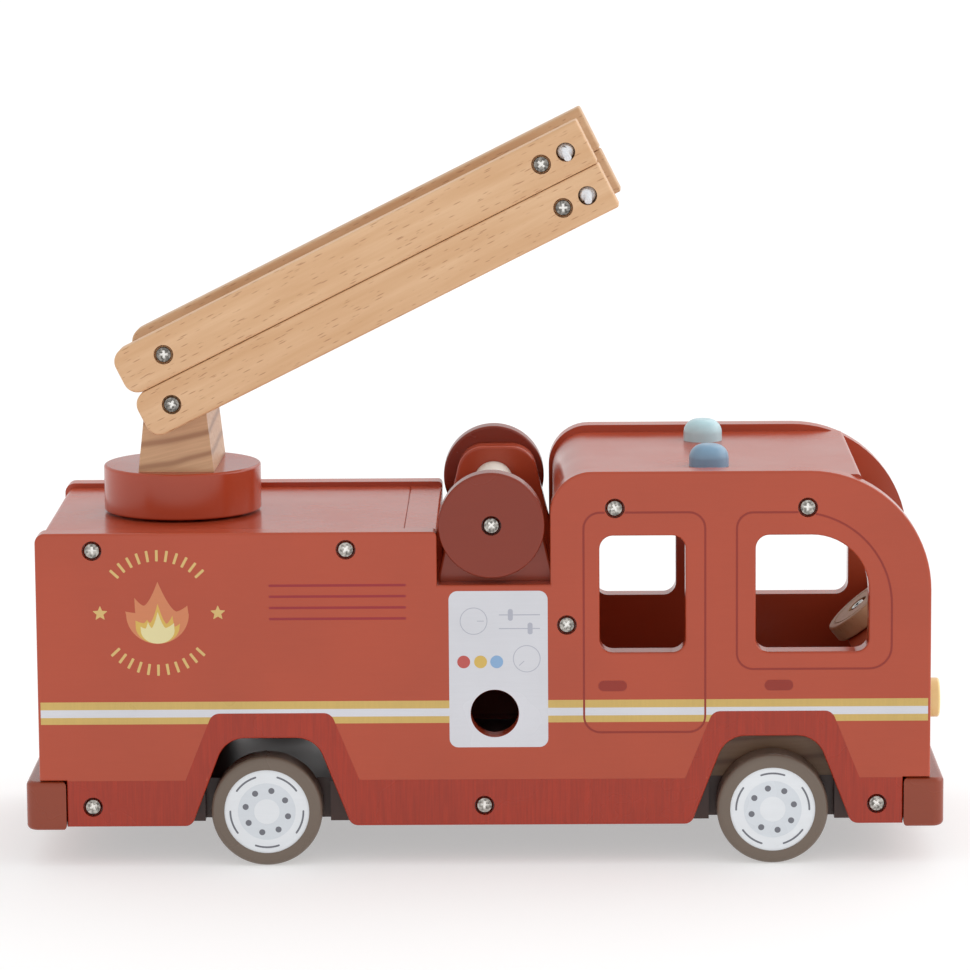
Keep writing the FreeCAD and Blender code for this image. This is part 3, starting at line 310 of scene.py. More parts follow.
def pine_group():
    """Pine with wide growth bands: sine bands across a tilted axis, bent by noise, with fine fibres."""
    inputs = [("Vector", "NodeSocketVector"), ("Light", "NodeSocketColor"), ("Dark", "NodeSocketColor")]
    group, start, end = new_group("Pine", inputs, SURFACE_OUTPUTS)
    vector = start.outputs["Vector"]
    bands = add(group, "ShaderNodeTexWave", {
        "Vector": vector, "Scale": 34.0, "Distortion": 1.6, "Detail": 2.0, "Detail Scale": 0.8},
        wave_type="BANDS", bands_direction="Z", wave_profile="SIN").outputs["Fac"]
    fibre = noise(group, stretched(group, vector, (0.05, 0.4, 1.0)), 900.0, 3.0, 0.6)
    late = math_node(group, "POWER", bands, 5.0)
    tone = mix(group, spread(group, late, 0.0, 0.9, 0.0, 1.0), start.outputs["Light"], start.outputs["Dark"])
    grained = mix(group, spread(group, fibre, 0.35, 0.7, 0.0, 0.3), tone, start.outputs["Dark"])
    group.links.new(grained, end.inputs["Color"])
    group.links.new(spread(group, fibre, 0.3, 0.7, 0.34, 0.48), end.inputs["Roughness"])
    group.links.new(math_node(group, "MULTIPLY", fibre, 0.5), end.inputs["Height"])
    return group


def blank_material(name):
    """A material with an empty node tree, its Principled BSDF and Object coordinates."""
    material = bpy.data.materials.new(name)
    material.use_nodes = True
    tree = material.node_tree
    tree.nodes.clear()
    shader = tree.nodes.new("ShaderNodeBsdfPrincipled")
    output = tree.nodes.new("ShaderNodeOutputMaterial")
    tree.links.new(shader.outputs["BSDF"], output.inputs["Surface"])
    place = tree.nodes.new("ShaderNodeTexCoord").outputs["Object"]
    return material, tree, shader, place


def use_group(tree, group, inputs):
    """A group placed in a material."""
    node = tree.nodes.new("ShaderNodeGroup")
    node.node_tree = group
    for name, value in inputs.items():
        if isinstance(value, bpy.types.NodeSocket):
            tree.links.new(value, node.inputs[name])
        else:
            node.inputs[name].default_value = value
    return node


def finish_surface(tree, shader, node, strength, distance):
    """Feeds a group's colour, roughness and height to the shader."""
    tree.links.new(node.outputs["Color"], shader.inputs["Base Color"])
    tree.links.new(node.outputs["Roughness"], shader.inputs["Roughness"])
    bump = add(tree, "ShaderNodeBump", {
        "Height": node.outputs["Height"], "Strength": strength, "Distance": distance})
    tree.links.new(bump.outputs["Normal"], shader.inputs["Normal"])


def painted(name, rgb, dullness, streaks=0.0, strength=0.25):
    """Satin paint or print of one colour, with upright streaks where wanted."""
    material, tree, shader, place = blank_material(name)
    tint = rgba(rgb)
    if streaks:
        tint = use_group(tree, bpy.data.node_groups["Printed streaks"], {
            "Vector": place, "Color": tint, "Amount": streaks}).outputs["Color"]
    node = use_group(tree, bpy.data.node_groups["Satin paint"], {
        "Vector": place, "Color": tint, "Dullness": dullness})
    finish_surface(tree, shader, node, strength, 0.0001)
    return material


def panel_paint(name, rgb, skirt, dullness):
    """The side panels' paint, with the skirt's colour round their foot and their wheel arches: below the
    skirt's level, and below the arches' tops within an arch's half width of each hump's middle."""
    material, tree, shader, place = blank_material(name)
    split = add(tree, "ShaderNodeSeparateXYZ", {0: place})
    along, up = split.outputs["X"], split.outputs["Z"]
    mask = math_node(tree, "LESS_THAN", up, SKIRT_LEVEL * MM)
    below = math_node(tree, "LESS_THAN", up, 55.5 * MM)
    for middle in (REAR_HUMP, FRONT_HUMP):
        away = math_node(tree, "ABSOLUTE", math_node(tree, "SUBTRACT", along, middle * MM))
        near = math_node(tree, "LESS_THAN", away, 26.3 * MM)
        mask = math_node(tree, "MAXIMUM", mask, math_node(tree, "MULTIPLY", near, below))
    node = use_group(tree, bpy.data.node_groups["Satin paint"], {
        "Vector": place, "Color": mix(tree, mask, rgba(rgb), rgba(skirt)), "Dullness": dullness})
    finish_surface(tree, shader, node, 0.25, 0.0001)
    return material


def turned(tree, place, slope, shift):
    """Object coordinates turned about Y so that X runs along a sloping piece, and shifted to vary the
    pattern."""
    inputs = {"Vector": place, "Rotation": (0.0, slope, 0.0), "Location": shift}
    return add(tree, "ShaderNodeMapping", inputs, vector_type="POINT").outputs["Vector"]


def beech(name, woods, slope=0.0, shift=(0.0, 0.0, 0.0), tone=1.0):
    """Beech with its grain along a slope."""
    material, tree, shader, place = blank_material(name)
    node = use_group(tree, bpy.data.node_groups["Beech"], {
        "Vector": turned(tree, place, slope, shift),
        "Light": rgba(np.array(woods.beech) * tone), "Dark": rgba(np.array(woods.beech_dark) * tone),
        "Fleck": rgba(np.array(woods.fleck) * tone)})
    finish_surface(tree, shader, node, 0.35, 0.0002)
    return material


def pine(name, woods, slope, shift, tone=1.0):
    """Pine with its bands across a slope."""
    material, tree, shader, place = blank_material(name)
    node = use_group(tree, bpy.data.node_groups["Pine"], {
        "Vector": turned(tree, place, slope, shift),
        "Light": rgba(np.array(woods.pine) * tone), "Dark": rgba(np.array(woods.pine_dark) * tone)})
    finish_surface(tree, shader, node, 0.3, 0.0002)
    return material


def steel(name, rgb, roughness, recess=None, turn=0.0):
    """Plated steel with uneven tarnish; the floor of a cross recess, nearer the middle than recess, gets a pale
    painted highlight.
    Turn is how far the screws' middle plane is turned about the turntable's axis."""
    material, tree, shader, place = blank_material(name)
    tarnish = noise(tree, place, 900.0, 3.0, 0.6)
    tint = mix(tree, spread(tree, tarnish, 0.38, 0.62), rgba(rgb), rgba(np.array(rgb) * 0.3))
    if recess:
        ahead = add(tree, "ShaderNodeVectorRotate", {
            "Vector": place, "Center": (TURN_X, 0.0, 0.0), "Axis": (0.0, 0.0, 1.0), "Angle": -turn,
        }).outputs["Vector"]
        across = add(tree, "ShaderNodeSeparateXYZ", {0: ahead}).outputs["Y"]
        depth = math_node(tree, "ABSOLUTE", across)
        # Painted highlight: below the recess depth the steel is mixed to a pale colour for the light that the
        # recess walls reflect.
        tint = mix(tree, spread(tree, depth, recess, recess + 0.0002, 1.0, 0.0), tint, (0.9, 0.88, 0.84, 1.0))
    tree.links.new(tint, shader.inputs["Base Color"])
    dulled = spread(tree, tarnish, 0.3, 0.7, roughness - 0.08, roughness + 0.14)
    tree.links.new(dulled, shader.inputs["Roughness"])
    shader.inputs["Metallic"].default_value = 1.0
    bump = add(tree, "ShaderNodeBump", {"Height": tarnish, "Strength": 0.4, "Distance": 0.0002})
    tree.links.new(bump.outputs["Normal"], shader.inputs["Normal"])
    return material


def braid(name, rgb):
    """Woven cover of an elastic cord: two sets of fine crossing ribs."""
    material, tree, shader, place = blank_material(name)
    ribs = []
    for direction in ("DIAGONAL", "Z"):
        ribs.append(add(tree, "ShaderNodeTexWave", {"Vector": place, "Scale": 420.0, "Distortion": 0.6},
                        bands_direction=direction).outputs["Fac"])
    weave = math_node(tree, "MULTIPLY", ribs[0], ribs[1])
    tint = mix(tree, spread(tree, weave, 0.0, 0.6), rgba(np.array(rgb) * 0.9), rgba(rgb))
    tree.links.new(tint, shader.inputs["Base Color"])
    shader.inputs["Roughness"].default_value = 0.85
    shader.inputs["Sheen Weight"].default_value = 0.3
    bump = add(tree, "ShaderNodeBump", {"Height": weave, "Strength": 0.25, "Distance": 0.0001})
    tree.links.new(bump.outputs["Normal"], shader.inputs["Normal"])
    return material


def dress(material, *nodes):
    """Gives CAD nodes a material in place of their own."""
    for name in nodes:
        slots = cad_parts[name].data.materials
        slots.clear()
        slots.append(material)


# ---------------------------------------------------------------- mesh helpers

def make_piece(name, points, faces, material, body):
    """A mesh object from point and face arrays, riding on a body."""
    mesh = bpy.data.meshes.new(name)
    mesh.from_pydata(points.tolist(), [], faces)
    mesh.update()
    mesh.materials.append(material)
    piece = bpy.data.objects.new(name, mesh)
    bpy.context.scene.collection.objects.link(piece)
    if body:
        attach(piece, body)
    return piece


def both_sides(name, points, faces, material, body):
    """A smooth piece of the elastic from its right half, made straight ahead: the left half is its mirror image
    with its faces turned out again, and both are then turned with the ladder."""
    mirrored = [[index + len(points) for index in one[::-1]] for one in faces]
    ahead, across, up = np.concatenate([points, points * (1, -1, 1)]).T
    ahead = ahead - TURN_X
    cosine, sine = math.cos(LADDER_TURN), math.sin(LADDER_TURN)
    points = np.stack([TURN_X + ahead * cosine - across * sine, ahead * sine + across * cosine, up], axis=1)
    piece = make_piece(name, points, faces + mirrored, material, body)
    piece.data.polygons.foreach_set("use_smooth", [True] * len(piece.data.polygons))
    return piece


def signed_area(path):
    """Area of a closed path, positive when it turns from x towards z: half the sum of cross products."""
    ahead = np.roll(path, -1, axis=0)
    return 0.5 * float(np.sum(path[:, 0] * ahead[:, 1] - ahead[:, 0] * path[:, 1]))


def film_block(loops, side, face, lift):
    """Points and faces of one flat closed film whose first loop is its outline and whose others are holes.
    The front stands a lift off the face, the back lies SUNK inside the wood, and each loop is walled between
    them."""
    loops = [loops[0] if signed_area(loops[0]) > 0 else loops[0][::-1]] + [
        hole if signed_area(hole) < 0 else hole[::-1] for hole in loops[1:]]
    flat = np.concatenate(loops)
    count = len(flat)
    triangles = np.array(tessellate_polygon([[Vector((x, z, 0)) for x, z in loop] for loop in loops]))
    edges = flat[triangles[:, 1]] - flat[triangles[:, 0]], flat[triangles[:, 2]] - flat[triangles[:, 0]]
    clockwise = edges[0][:, 0] * edges[1][:, 1] < edges[0][:, 1] * edges[1][:, 0]
    triangles[clockwise] = triangles[clockwise][:, ::-1]
    walls, start = [], 0
    for loop in loops:
        here = start + np.arange(len(loop))
        after = np.roll(here, -1)
        walls.append(np.stack([here, here + count, after + count, after], axis=1))
        start += len(loop)
    faces = triangles.tolist() + (triangles[:, ::-1] + count).tolist() + np.concatenate(walls).tolist()
    if side > 0:
        faces = [one[::-1] for one in faces]
    layers = [np.stack([flat[:, 0], np.full(count, side * height), flat[:, 1]], axis=1)
              for height in (face + lift, face - SUNK)]
    return np.concatenate(layers), faces


def film(name, shapes, side, face, lift, material, body):
    """One printed piece from shapes in metres, each an outline or a list of an outline and its holes."""
    points, faces, start = [], [], 0
    for shape in shapes:
        block, found = film_block(shape if isinstance(shape, list) else [shape], side, face, lift)
        faces += [[index + start for index in one] for one in found]
        points.append(block)
        start += len(block)
    return make_piece(name, np.concatenate(points), faces, material, body)


def circle(x, z, radius, count=64, turn=0.0):
    """Circle: x + r cos t, z + r sin t."""
    angle = turn + np.arange(count) * 2 * math.pi / count
    return np.stack([x + radius * np.cos(angle), z + radius * np.sin(angle)], axis=1)


def rounded(corners, radii, steps=10):
    """A closed outline with each corner replaced by an arc that touches both of its sides.
    The arc's middle lies on the corner's bisector, at radius / sin(half the corner's angle)."""
    corners = np.array(corners, float)
    radii = np.broadcast_to(radii, len(corners))
    pieces = []
    for before, here, after, radius in zip(np.roll(corners, 1, 0), corners, np.roll(corners, -1, 0), radii):
        if radius <= 0:
            pieces.append(here[None])
            continue
        back = (before - here) / np.linalg.norm(before - here)
        ahead = (after - here) / np.linalg.norm(after - here)
        half = math.acos(np.clip(back @ ahead, -1, 1)) / 2
        middle = here + (back + ahead) / np.linalg.norm(back + ahead) * radius / math.sin(half)
        first = here + back * radius / math.tan(half) - middle
        last = here + ahead * radius / math.tan(half) - middle
        sweep = math.atan2(first[0] * last[1] - first[1] * last[0], first @ last)
        angle = math.atan2(first[1], first[0]) + sweep * np.linspace(0, 1, steps)
        pieces.append(middle + radius * np.stack([np.cos(angle), np.sin(angle)], axis=1))
    return np.concatenate(pieces)


def box_outline(x0, x1, z0, z1, radius=0.0, steps=10):
    """A rectangle with rounded corners."""
    return rounded([(x0, z0), (x1, z0), (x1, z1), (x0, z1)], radius, steps)


def moved_out(path, distance):
    """A closed path moved along its outward normal, which is the average of its two sides' normals."""
    ahead = np.roll(path, -1, 0) - path
    behind = path - np.roll(path, 1, 0)
    ahead /= np.linalg.norm(ahead, axis=1)[:, None]
    behind /= np.linalg.norm(behind, axis=1)[:, None]
    tangent = (ahead + behind) / np.linalg.norm(ahead + behind, axis=1)[:, None]
    normal = np.stack([tangent[:, 1], -tangent[:, 0]], axis=1) * math.copysign(1, signed_area(path))
    return path + normal * distance


def band(path, width):
    """A line of even width along a closed path, as an outline and a hole."""
    return [moved_out(path, width / 2), moved_out(path, -width / 2)]


def evenly(path, step):
    """Points at even steps of length round a closed path."""
    closed = np.concatenate([path, path[:1]])
    run = np.concatenate([[0], np.cumsum(np.linalg.norm(np.diff(closed, axis=0), axis=1))])
    places = np.linspace(0, run[-1], int(run[-1] / step), endpoint=False)
    return np.stack([np.interp(places, run, closed[:, 0]), np.interp(places, run, closed[:, 1])], axis=1)


def broken_line(path, width, middle, radius):
    """A line of even width round a closed path, left out inside a circle: the outline of what remains."""
    outside = np.linalg.norm(path - middle, axis=1) > radius
    first = int(np.argmax(outside & ~np.roll(outside, 1)))
    path = np.roll(path, -first, axis=0)[np.roll(outside, -first)]
    ahead = np.gradient(path, axis=0)
    normal = np.stack([ahead[:, 1], -ahead[:, 0]], axis=1) / np.linalg.norm(ahead, axis=1)[:, None]
    return np.concatenate([path + normal * width / 2, (path - normal * width / 2)[::-1]])


def arc_bar(x, z, radius, width, start, end, steps=14):
    """A curved bar: two arcs of radius r - w / 2 and r + w / 2, closed by round ends of w / 2."""
    angle = np.linspace(start, end, steps)
    rim = np.stack([np.cos(angle), np.sin(angle)], axis=1)
    cap = np.linspace(0, math.pi, 7)[1:-1]
    parts = [rim * (radius + width / 2)]
    tip = rim[-1] * radius
    parts.append(tip + width / 2 * np.stack([np.cos(end + cap), np.sin(end + cap)], axis=1))
    parts.append(rim[::-1] * (radius - width / 2))
    tip = rim[0] * radius
    turned_cap = start + math.pi + cap
    parts.append(tip + width / 2 * np.stack([np.cos(turned_cap), np.sin(turned_cap)], axis=1))
    return np.concatenate(parts) + (x, z)


def tube(path, radius, aside, around=20):
    """A round tube along a path: ring points p + r (cos t n + sin t b), where n is the path's direction crossed
    with a fixed direction aside and b completes the square. The last ring at each end is drawn in to a cut
    edge."""
    tangent = np.gradient(path, axis=0)
    tangent /= np.linalg.norm(tangent, axis=1)[:, None]
    normal = np.cross(tangent, aside)
    normal /= np.linalg.norm(normal, axis=1)[:, None]
    binormal = np.cross(tangent, normal)
    size = np.full(len(path), radius)
    size[[0, -1]] *= 0.86
    angle = np.arange(around) * 2 * math.pi / around
    ring = np.cos(angle)[None, :, None] * normal[:, None] + np.sin(angle)[None, :, None] * binormal[:, None]
    rings = path[:, None] + ring * size[:, None, None]
    index = np.arange(len(path) * around).reshape(len(path), around)
    beside = np.roll(index, -1, axis=1)
    quads = np.stack([index[:-1], beside[:-1], beside[1:], index[1:]], axis=-1).reshape(-1, 4)
    return rings.reshape(-1, 3), quads.tolist() + [index[0][::-1].tolist(), index[-1].tolist()]


def smooth_path(stops, count):
    """A smooth path through its stops: between two of them the Catmull-Rom cubic of the four nearest."""
    stops = np.array(stops, float)
    padded = np.concatenate([2 * stops[:1] - stops[1:2], stops, 2 * stops[-1:] - stops[-2:-1]])
    place = np.linspace(0, len(stops) - 1, count)
    step = np.minimum(place.astype(int), len(stops) - 2)
    t = (place - step)[:, None]
    a, b, c, d = (padded[step + shift] for shift in range(4))
    square, cube = 2 * a - 5 * b + 4 * c - d, 3 * b - a - 3 * c + d
    return 0.5 * (2 * b + (c - a) * t + square * t ** 2 + cube * t ** 3)


# ---------------------------------------------------------------- the engine's own shapes

def skirt_outline():
    """The printed skirt: from just inside the panel's foot and its arches up to a level edge with a hump over
    each wheel. Every corner is rounded."""
    foot, level, top = 17.4, SKIRT_LEVEL, 63.2
    end = 168.2
    points, radii = [(-end, foot)], [0.5]
    for arch in (-86.3, 115.9):
        points += [(arch - 33.5, foot), (arch - 19.2, 53.8), (arch + 19.2, 53.8), (arch + 33.5, foot)]
        radii += [5.0, 12.5, 12.5, 5.0]
    points.append((end, foot))
    radii.append(0.5)
    points.append((end, level))
    radii.append(0.3)
    for hump in (FRONT_HUMP, REAR_HUMP):
        points += [(hump + 35.2, level), (hump + 24.0, top), (hump - 24.0, top), (hump - 35.2, level)]
        radii += [0.5, 4.5, 4.5, 0.5]
    points.append((-end, level))
    radii.append(0.3)
    return rounded(points, radii) * MM


def stripe_shapes(low, high):
    """One stripe along the panel, broken by the control panel."""
    return [box_outline(x0, x1, low, high) * MM for x0, x1 in ((-178.9, -13.9), (25.9, 178.9))]


def door_outlines():
    """The rear door, a rounded upright rectangle, and the front door, whose upper front corner curves wide."""
    rear = box_outline(40.4, 89.2, 54.7, 144.5, 6.5, 12)
    front = rounded([(101.9, 80.4), (164.1, 80.4), (164.1, 144.3), (101.9, 144.3)], [6.5, 9.0, 38.0, 6.5], 24)
    return rear * MM, front * MM


def star(x, z, radius):
    """Five-pointed star: ten corners whose radius is alternately r and 0.45 r."""
    angle = math.pi / 2 + np.arange(10) * math.pi / 5
    reach = np.where(np.arange(10) % 2 == 0, radius, 0.45 * radius)
    corners = np.stack([x + reach * np.cos(angle), z + reach * np.sin(angle)], axis=1)
    return rounded(corners, 0.12, 3)


def flame(x, z, width, depth, tongues):
    """A flame: the lower half of an ellipse, and above it tips and valleys in turn, given as (across, up). Each
    side of a tongue bends as t ** 1.5 towards its tip and as 1 - (1 - t) ** 1.5 towards a valley."""
    bowl = np.linspace(math.pi, 2 * math.pi, 33)
    outline = [np.stack([x + width * np.cos(bowl), z + depth * np.sin(bowl)], axis=1)]
    share = np.linspace(0, 1, 10)[1:]
    last = np.array([x + width, z])
    for index, (across, up) in enumerate(tongues):
        aim = np.array([x + across, z + up])
        bend = share ** 1.5 if index % 2 == 0 else 1 - (1 - share) ** 1.5
        outline.append(last + (aim - last) * np.stack([share, bend], axis=1))
        last = aim
    outline[-1] = outline[-1][:-1]
    return np.concatenate(outline)


def tick_ring(x, z, radius, size, start, end, count):
    """Short bars set like rays round a circle between two angles, in place of any wording."""
    shapes = []
    for angle in np.linspace(start, end, count):
        ray = np.array([math.cos(angle), math.sin(angle)])
        across = np.array([-ray[1], ray[0]])
        middle = np.array([x, z]) + ray * radius
        corners = [middle + ray * size * a + across * 0.55 * b
                   for a, b in ((-0.5, -1), (0.5, -1), (0.5, 1), (-0.5, 1))]
        shapes.append(rounded(corners, 0.25, 4) * MM)
    return shapes


KNOT_STOPS = {
    "lower": [(0.0, 0.0, -6.2), (-1.8, -0.5, -5.0), (-1.5, 1.5, -4.0), (0.8, 1.9, -3.3), (1.8, 0.3, -3.1),
              (0.7, -1.5, -3.3), (-1.4, -0.8, -2.6), (-1.2, 1.1, -1.6), (0.2, 1.0, -0.7), (0.4, -0.8, -0.2),
              (0.3, -1.9, 0.2), (0.3, -2.3, 0.6)],
    "upper": [(0.0, 0.0, -6.2), (1.7, -0.7, -5.0), (1.6, 1.4, -4.0), (-0.6, 1.9, -3.4), (-1.9, 0.4, -3.1),
              (-0.9, -1.5, -3.2), (1.2, -1.1, -2.7), (1.4, 1.0, -1.8), (-0.3, 1.2, -0.8), (0.3, -0.9, -0.2),
              (0.8, -2.0, 0.2), (0.9, -2.3, 0.7)],
}


def knot_path(section, hole):
    """A cord's knotted end on the right side: it winds in its pocket, crosses over itself and ends cut off just
    outside the rail. Stops are (along X, up, out of the rail's face) in millimetres from the hole."""
    path = smooth_path(KNOT_STOPS[section], 90) * MM
    return np.stack([hole[0] + path[:, 0], -(RAIL_OUTER + path[:, 2]), hole[2] + path[:, 1]], axis=1)


# ---------------------------------------------------------------- operators

def settings():
    """The add-on's four groups of properties."""
    scene = bpy.context.scene
    return scene.engine_paints, scene.engine_woods, scene.engine_prints, scene.engine_stage


class EngineOperator:
    """What every operator of this add-on shares: it can be undone, and build() does its work."""
    bl_options = {"REGISTER", "UNDO"}

    def execute(self, context):
        self.build(*settings())
        return {"FINISHED"}


class ENGINE_OT_patterns(EngineOperator, bpy.types.Operator):
    """Build the shared shader groups"""
    bl_idname = "engine.patterns"
    bl_label = "Shared patterns"

    def build(self, paints, woods, prints, stage):
        satin_paint_group()
        printed_streaks_group()
        beech_group()
        pine_group()


class ENGINE_OT_boards(EngineOperator, bpy.types.Operator):
    """Paint the panels, roofs, walls, bumpers, base and turntable"""
    bl_idname = "engine.boards"
    bl_label = "Painted boards"

    def build(self, paints, woods, prints, stage):
        body = painted("Body paint", paints.body, paints.roughness)
        dress(panel_paint("Panel paint", paints.body, prints.skirt, paints.roughness), "side_panel_right",
              "side_panel_left")
        dress(body, "rear_wall", "box_roof", "bulkhead", "bay_floor",
              "cab_rear_wall", "cab_roof", "front_wall", "dashboard", "reel_bracket_right", "reel_bracket_left",
              "turntable_disc")
        dress(painted("Bumper paint", paints.trim, paints.roughness + 0.04), *BUMPERS)
        reel = painted("Reel paint", paints.reel, paints.roughness + 0.05)
        dress(reel, "reel_disc_right", "reel_disc_left")
        dress(painted("Base dark brown", paints.base, paints.roughness + 0.1), "base_board")


class ENGINE_OT_woods(EngineOperator, bpy.types.Operator):
    """Give the ladder, mast, reel and steering wheel their bare wood"""
    bl_idname = "engine.woods"
    bl_label = "Bare wood"

    def build(self, paints, woods, prints, stage):
        slope = woods.ladder_slope
        for section, shift in (("lower", 0.0), ("upper", 0.31)):
            near = beech(f"Beech, {section} right rail", woods, slope, (shift, 0.0, shift))
            # The left rails are the same beech darkened by woods.shade, as a painted shade.
            far = beech(f"Beech, {section} left rail", woods, slope, (0.2, 0.4, shift), woods.shade)
            dress(near, f"{section}_rail_right")
            dress(far, f"{section}_rail_left")
        rungs = beech("Beech, rungs", woods, 0.0, (0.4, 0.1, 0.0), 0.97)
        dress(rungs, "lower_rungs", "upper_rungs", "reel_spindle")
        wheel = beech("Beech, steering wheel", woods, math.radians(-40), (0.2, 0.3, 0.1), 0.75)
        dress(wheel, "steering_wheel")
        dress(pine("Pine, mast", woods, math.radians(14), (0.0, 0.0, 0.004)), "mast")
        # Painted shade: the axle block's pine is darkened to 0.4 of its colour for its place under the body,
        # inside the wheel arches.
        dress(pine("Pine, axle block, painted shade", woods, math.radians(3), (0.3, 0.0, 0.1), 0.4), "axle_block")
        dress(painted("Reel core", woods.core, 0.5), "reel_core")


class ENGINE_OT_hardware(EngineOperator, bpy.types.Operator):
    """Give screws, bolts, washers and axles their metal"""
    bl_idname = "engine.hardware"
    bl_label = "Hardware"

    def build(self, paints, woods, prints, stage):
        body_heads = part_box("panel_screws")[1].y - 0.9 * MM
        bright = np.array(woods.steel) * 1.5
        dress(steel("Body screws", bright, 0.25, body_heads), "panel_screws", "reel_screws")
        rail_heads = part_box("pivot_screws")[1].y - 1.0 * MM
        dress(steel("Ladder screws", woods.steel, 0.25, rail_heads, LADDER_TURN), "pivot_screws",
              "lower_ladder_screws", "upper_ladder_screws")
        dress(steel("Steering screw", bright, 0.15), "steering_screw")
        dress(steel("Plain steel", woods.steel, 0.42), "rear_axle", "front_axle", "rear_axle_washers",
              "front_axle_washers", "turntable_washer", "bolt_washer", "turntable_bolt")


class ENGINE_OT_wheels(EngineOperator, bpy.types.Operator):
    """Paint the wheels and print their rims"""
    bl_idname = "engine.wheels"
    bl_label = "Wheels"

    def build(self, paints, woods, prints, stage):
        tyre = painted("Tyre paint", paints.tyre, paints.roughness + 0.08)
        disc = painted("Disc paint", paints.disc, paints.roughness + 0.02)
        ring_paint = painted("Rim ring", prints.rim, paints.roughness + 0.05)
        mark_paint = painted("Rim marks", prints.dot_grey, paints.roughness + 0.05)
        radius = (DISC_HIGH.x - DISC_LOW.x) / 2
        face = -DISC_LOW.y
        axles = {"rear": (REAR_TYRE_LOW + REAR_TYRE_HIGH) / 2,
                 "front": (FRONT_TYRE_LOW + FRONT_TYRE_HIGH) / 2}
        first_dot = {"rear": 77, "front": 103}
        first_arc = {"rear": 270, "front": 90}
        for axle, middle in axles.items():
            x, z = middle.x, middle.z
            for name, side in SIDES.items():
                dress(tyre, f"{axle}_tyre_{name}")
                dress(disc, f"{axle}_wheel_disc_{name}")
                ring = [[circle(x, z, 0.68 * radius, 96), circle(x, z, 0.30 * radius, 96)]]
                film(f"{axle}_rim_ring_{name}", ring, side, face, prints.ink, ring_paint, f"{axle}_wheelset")
                dots = [math.radians(first_dot[axle] + 45 * index) for index in range(8)]
                marks = [circle(x + 0.51 * radius * math.cos(angle), z + 0.51 * radius * math.sin(angle),
                                0.072 * radius, 28) for angle in dots]
                arcs = [math.radians(first_arc[axle] + 72 * index) for index in range(5)]
                reach = math.radians(18.5)
                marks += [arc_bar(x, z, 0.86 * radius, 0.042 * radius, angle - reach, angle + reach)
                          for angle in arcs]
                film(f"{axle}_rim_marks_{name}", marks, side, face, 2 * prints.ink, mark_paint,
                     f"{axle}_wheelset")


class ENGINE_OT_lamps(EngineOperator, bpy.types.Operator):
    """Paint the headlamps and beacons"""
    bl_idname = "engine.lamps"
    bl_label = "Lamps"

    def build(self, paints, woods, prints, stage):
        dress(painted("Headlamp paint", paints.headlamp, 0.3), "headlamp_right", "headlamp_left")
        dress(painted("Right beacon paint", paints.beacon_near, 0.26), "beacon_right")
        dress(painted("Left beacon paint", paints.beacon_far, 0.26), "beacon_left")


class ENGINE_OT_livery(EngineOperator, bpy.types.Operator):
    """Print the skirt, stripes, vents and doors on both sides"""
    bl_idname = "engine.livery"
    bl_label = "Skirt, stripes and doors"

    def build(self, paints, woods, prints, stage):
        dull = paints.roughness
        skirt = painted("Skirt print", prints.skirt, dull + 0.06, 0.13)
        gold = painted("Gold print", prints.gold, dull + 0.1, 0.03)
        white = painted("White print", prints.white, dull + 0.1)
        line = painted("Door lines", prints.line, dull + 0.1)
        vent = painted("Vent lines", prints.vent, dull + 0.1)
        face = -PANEL_LOW.y
        foot_screws = [circle(x, 24.75, 4.0, 40) * MM for x in (-158.5, 0.0, 158.5)]
        doors = [broken_line(evenly(door, 1.0 * MM), prints.line_width, np.array([x, 146.2]) * MM, 4.05 * MM)
                 for door, x in zip(door_outlines(), (53.0, 130.3))]
        handles = [box_outline(x, x + 11.5, 71.6, 75.9, 2.1, 10) * MM for x in (46.2, 113.1)]
        vents = [box_outline(-86.1, -31.0, z - 0.5, z + 0.5, 0.3, 4) * MM
                 for z in (115.5, 111.0, 106.4, 101.9)]
        for name, side in SIDES.items():
            film(f"stripes_gold_{name}", stripe_shapes(64.9, 68.1) + stripe_shapes(58.9, 61.7), side, face,
                 prints.ink, gold, "chassis")
            film(f"stripe_white_{name}", stripe_shapes(61.7, 64.9), side, face, prints.ink, white, "chassis")
            film(f"skirt_{name}", [[skirt_outline()] + foot_screws], side, face, 2 * prints.ink, skirt,
                 "chassis")
            film(f"door_lines_{name}", doors + handles, side, face, 2 * prints.ink, line, "chassis")
            film(f"vent_lines_{name}", vents, side, face, prints.ink, vent, "chassis")


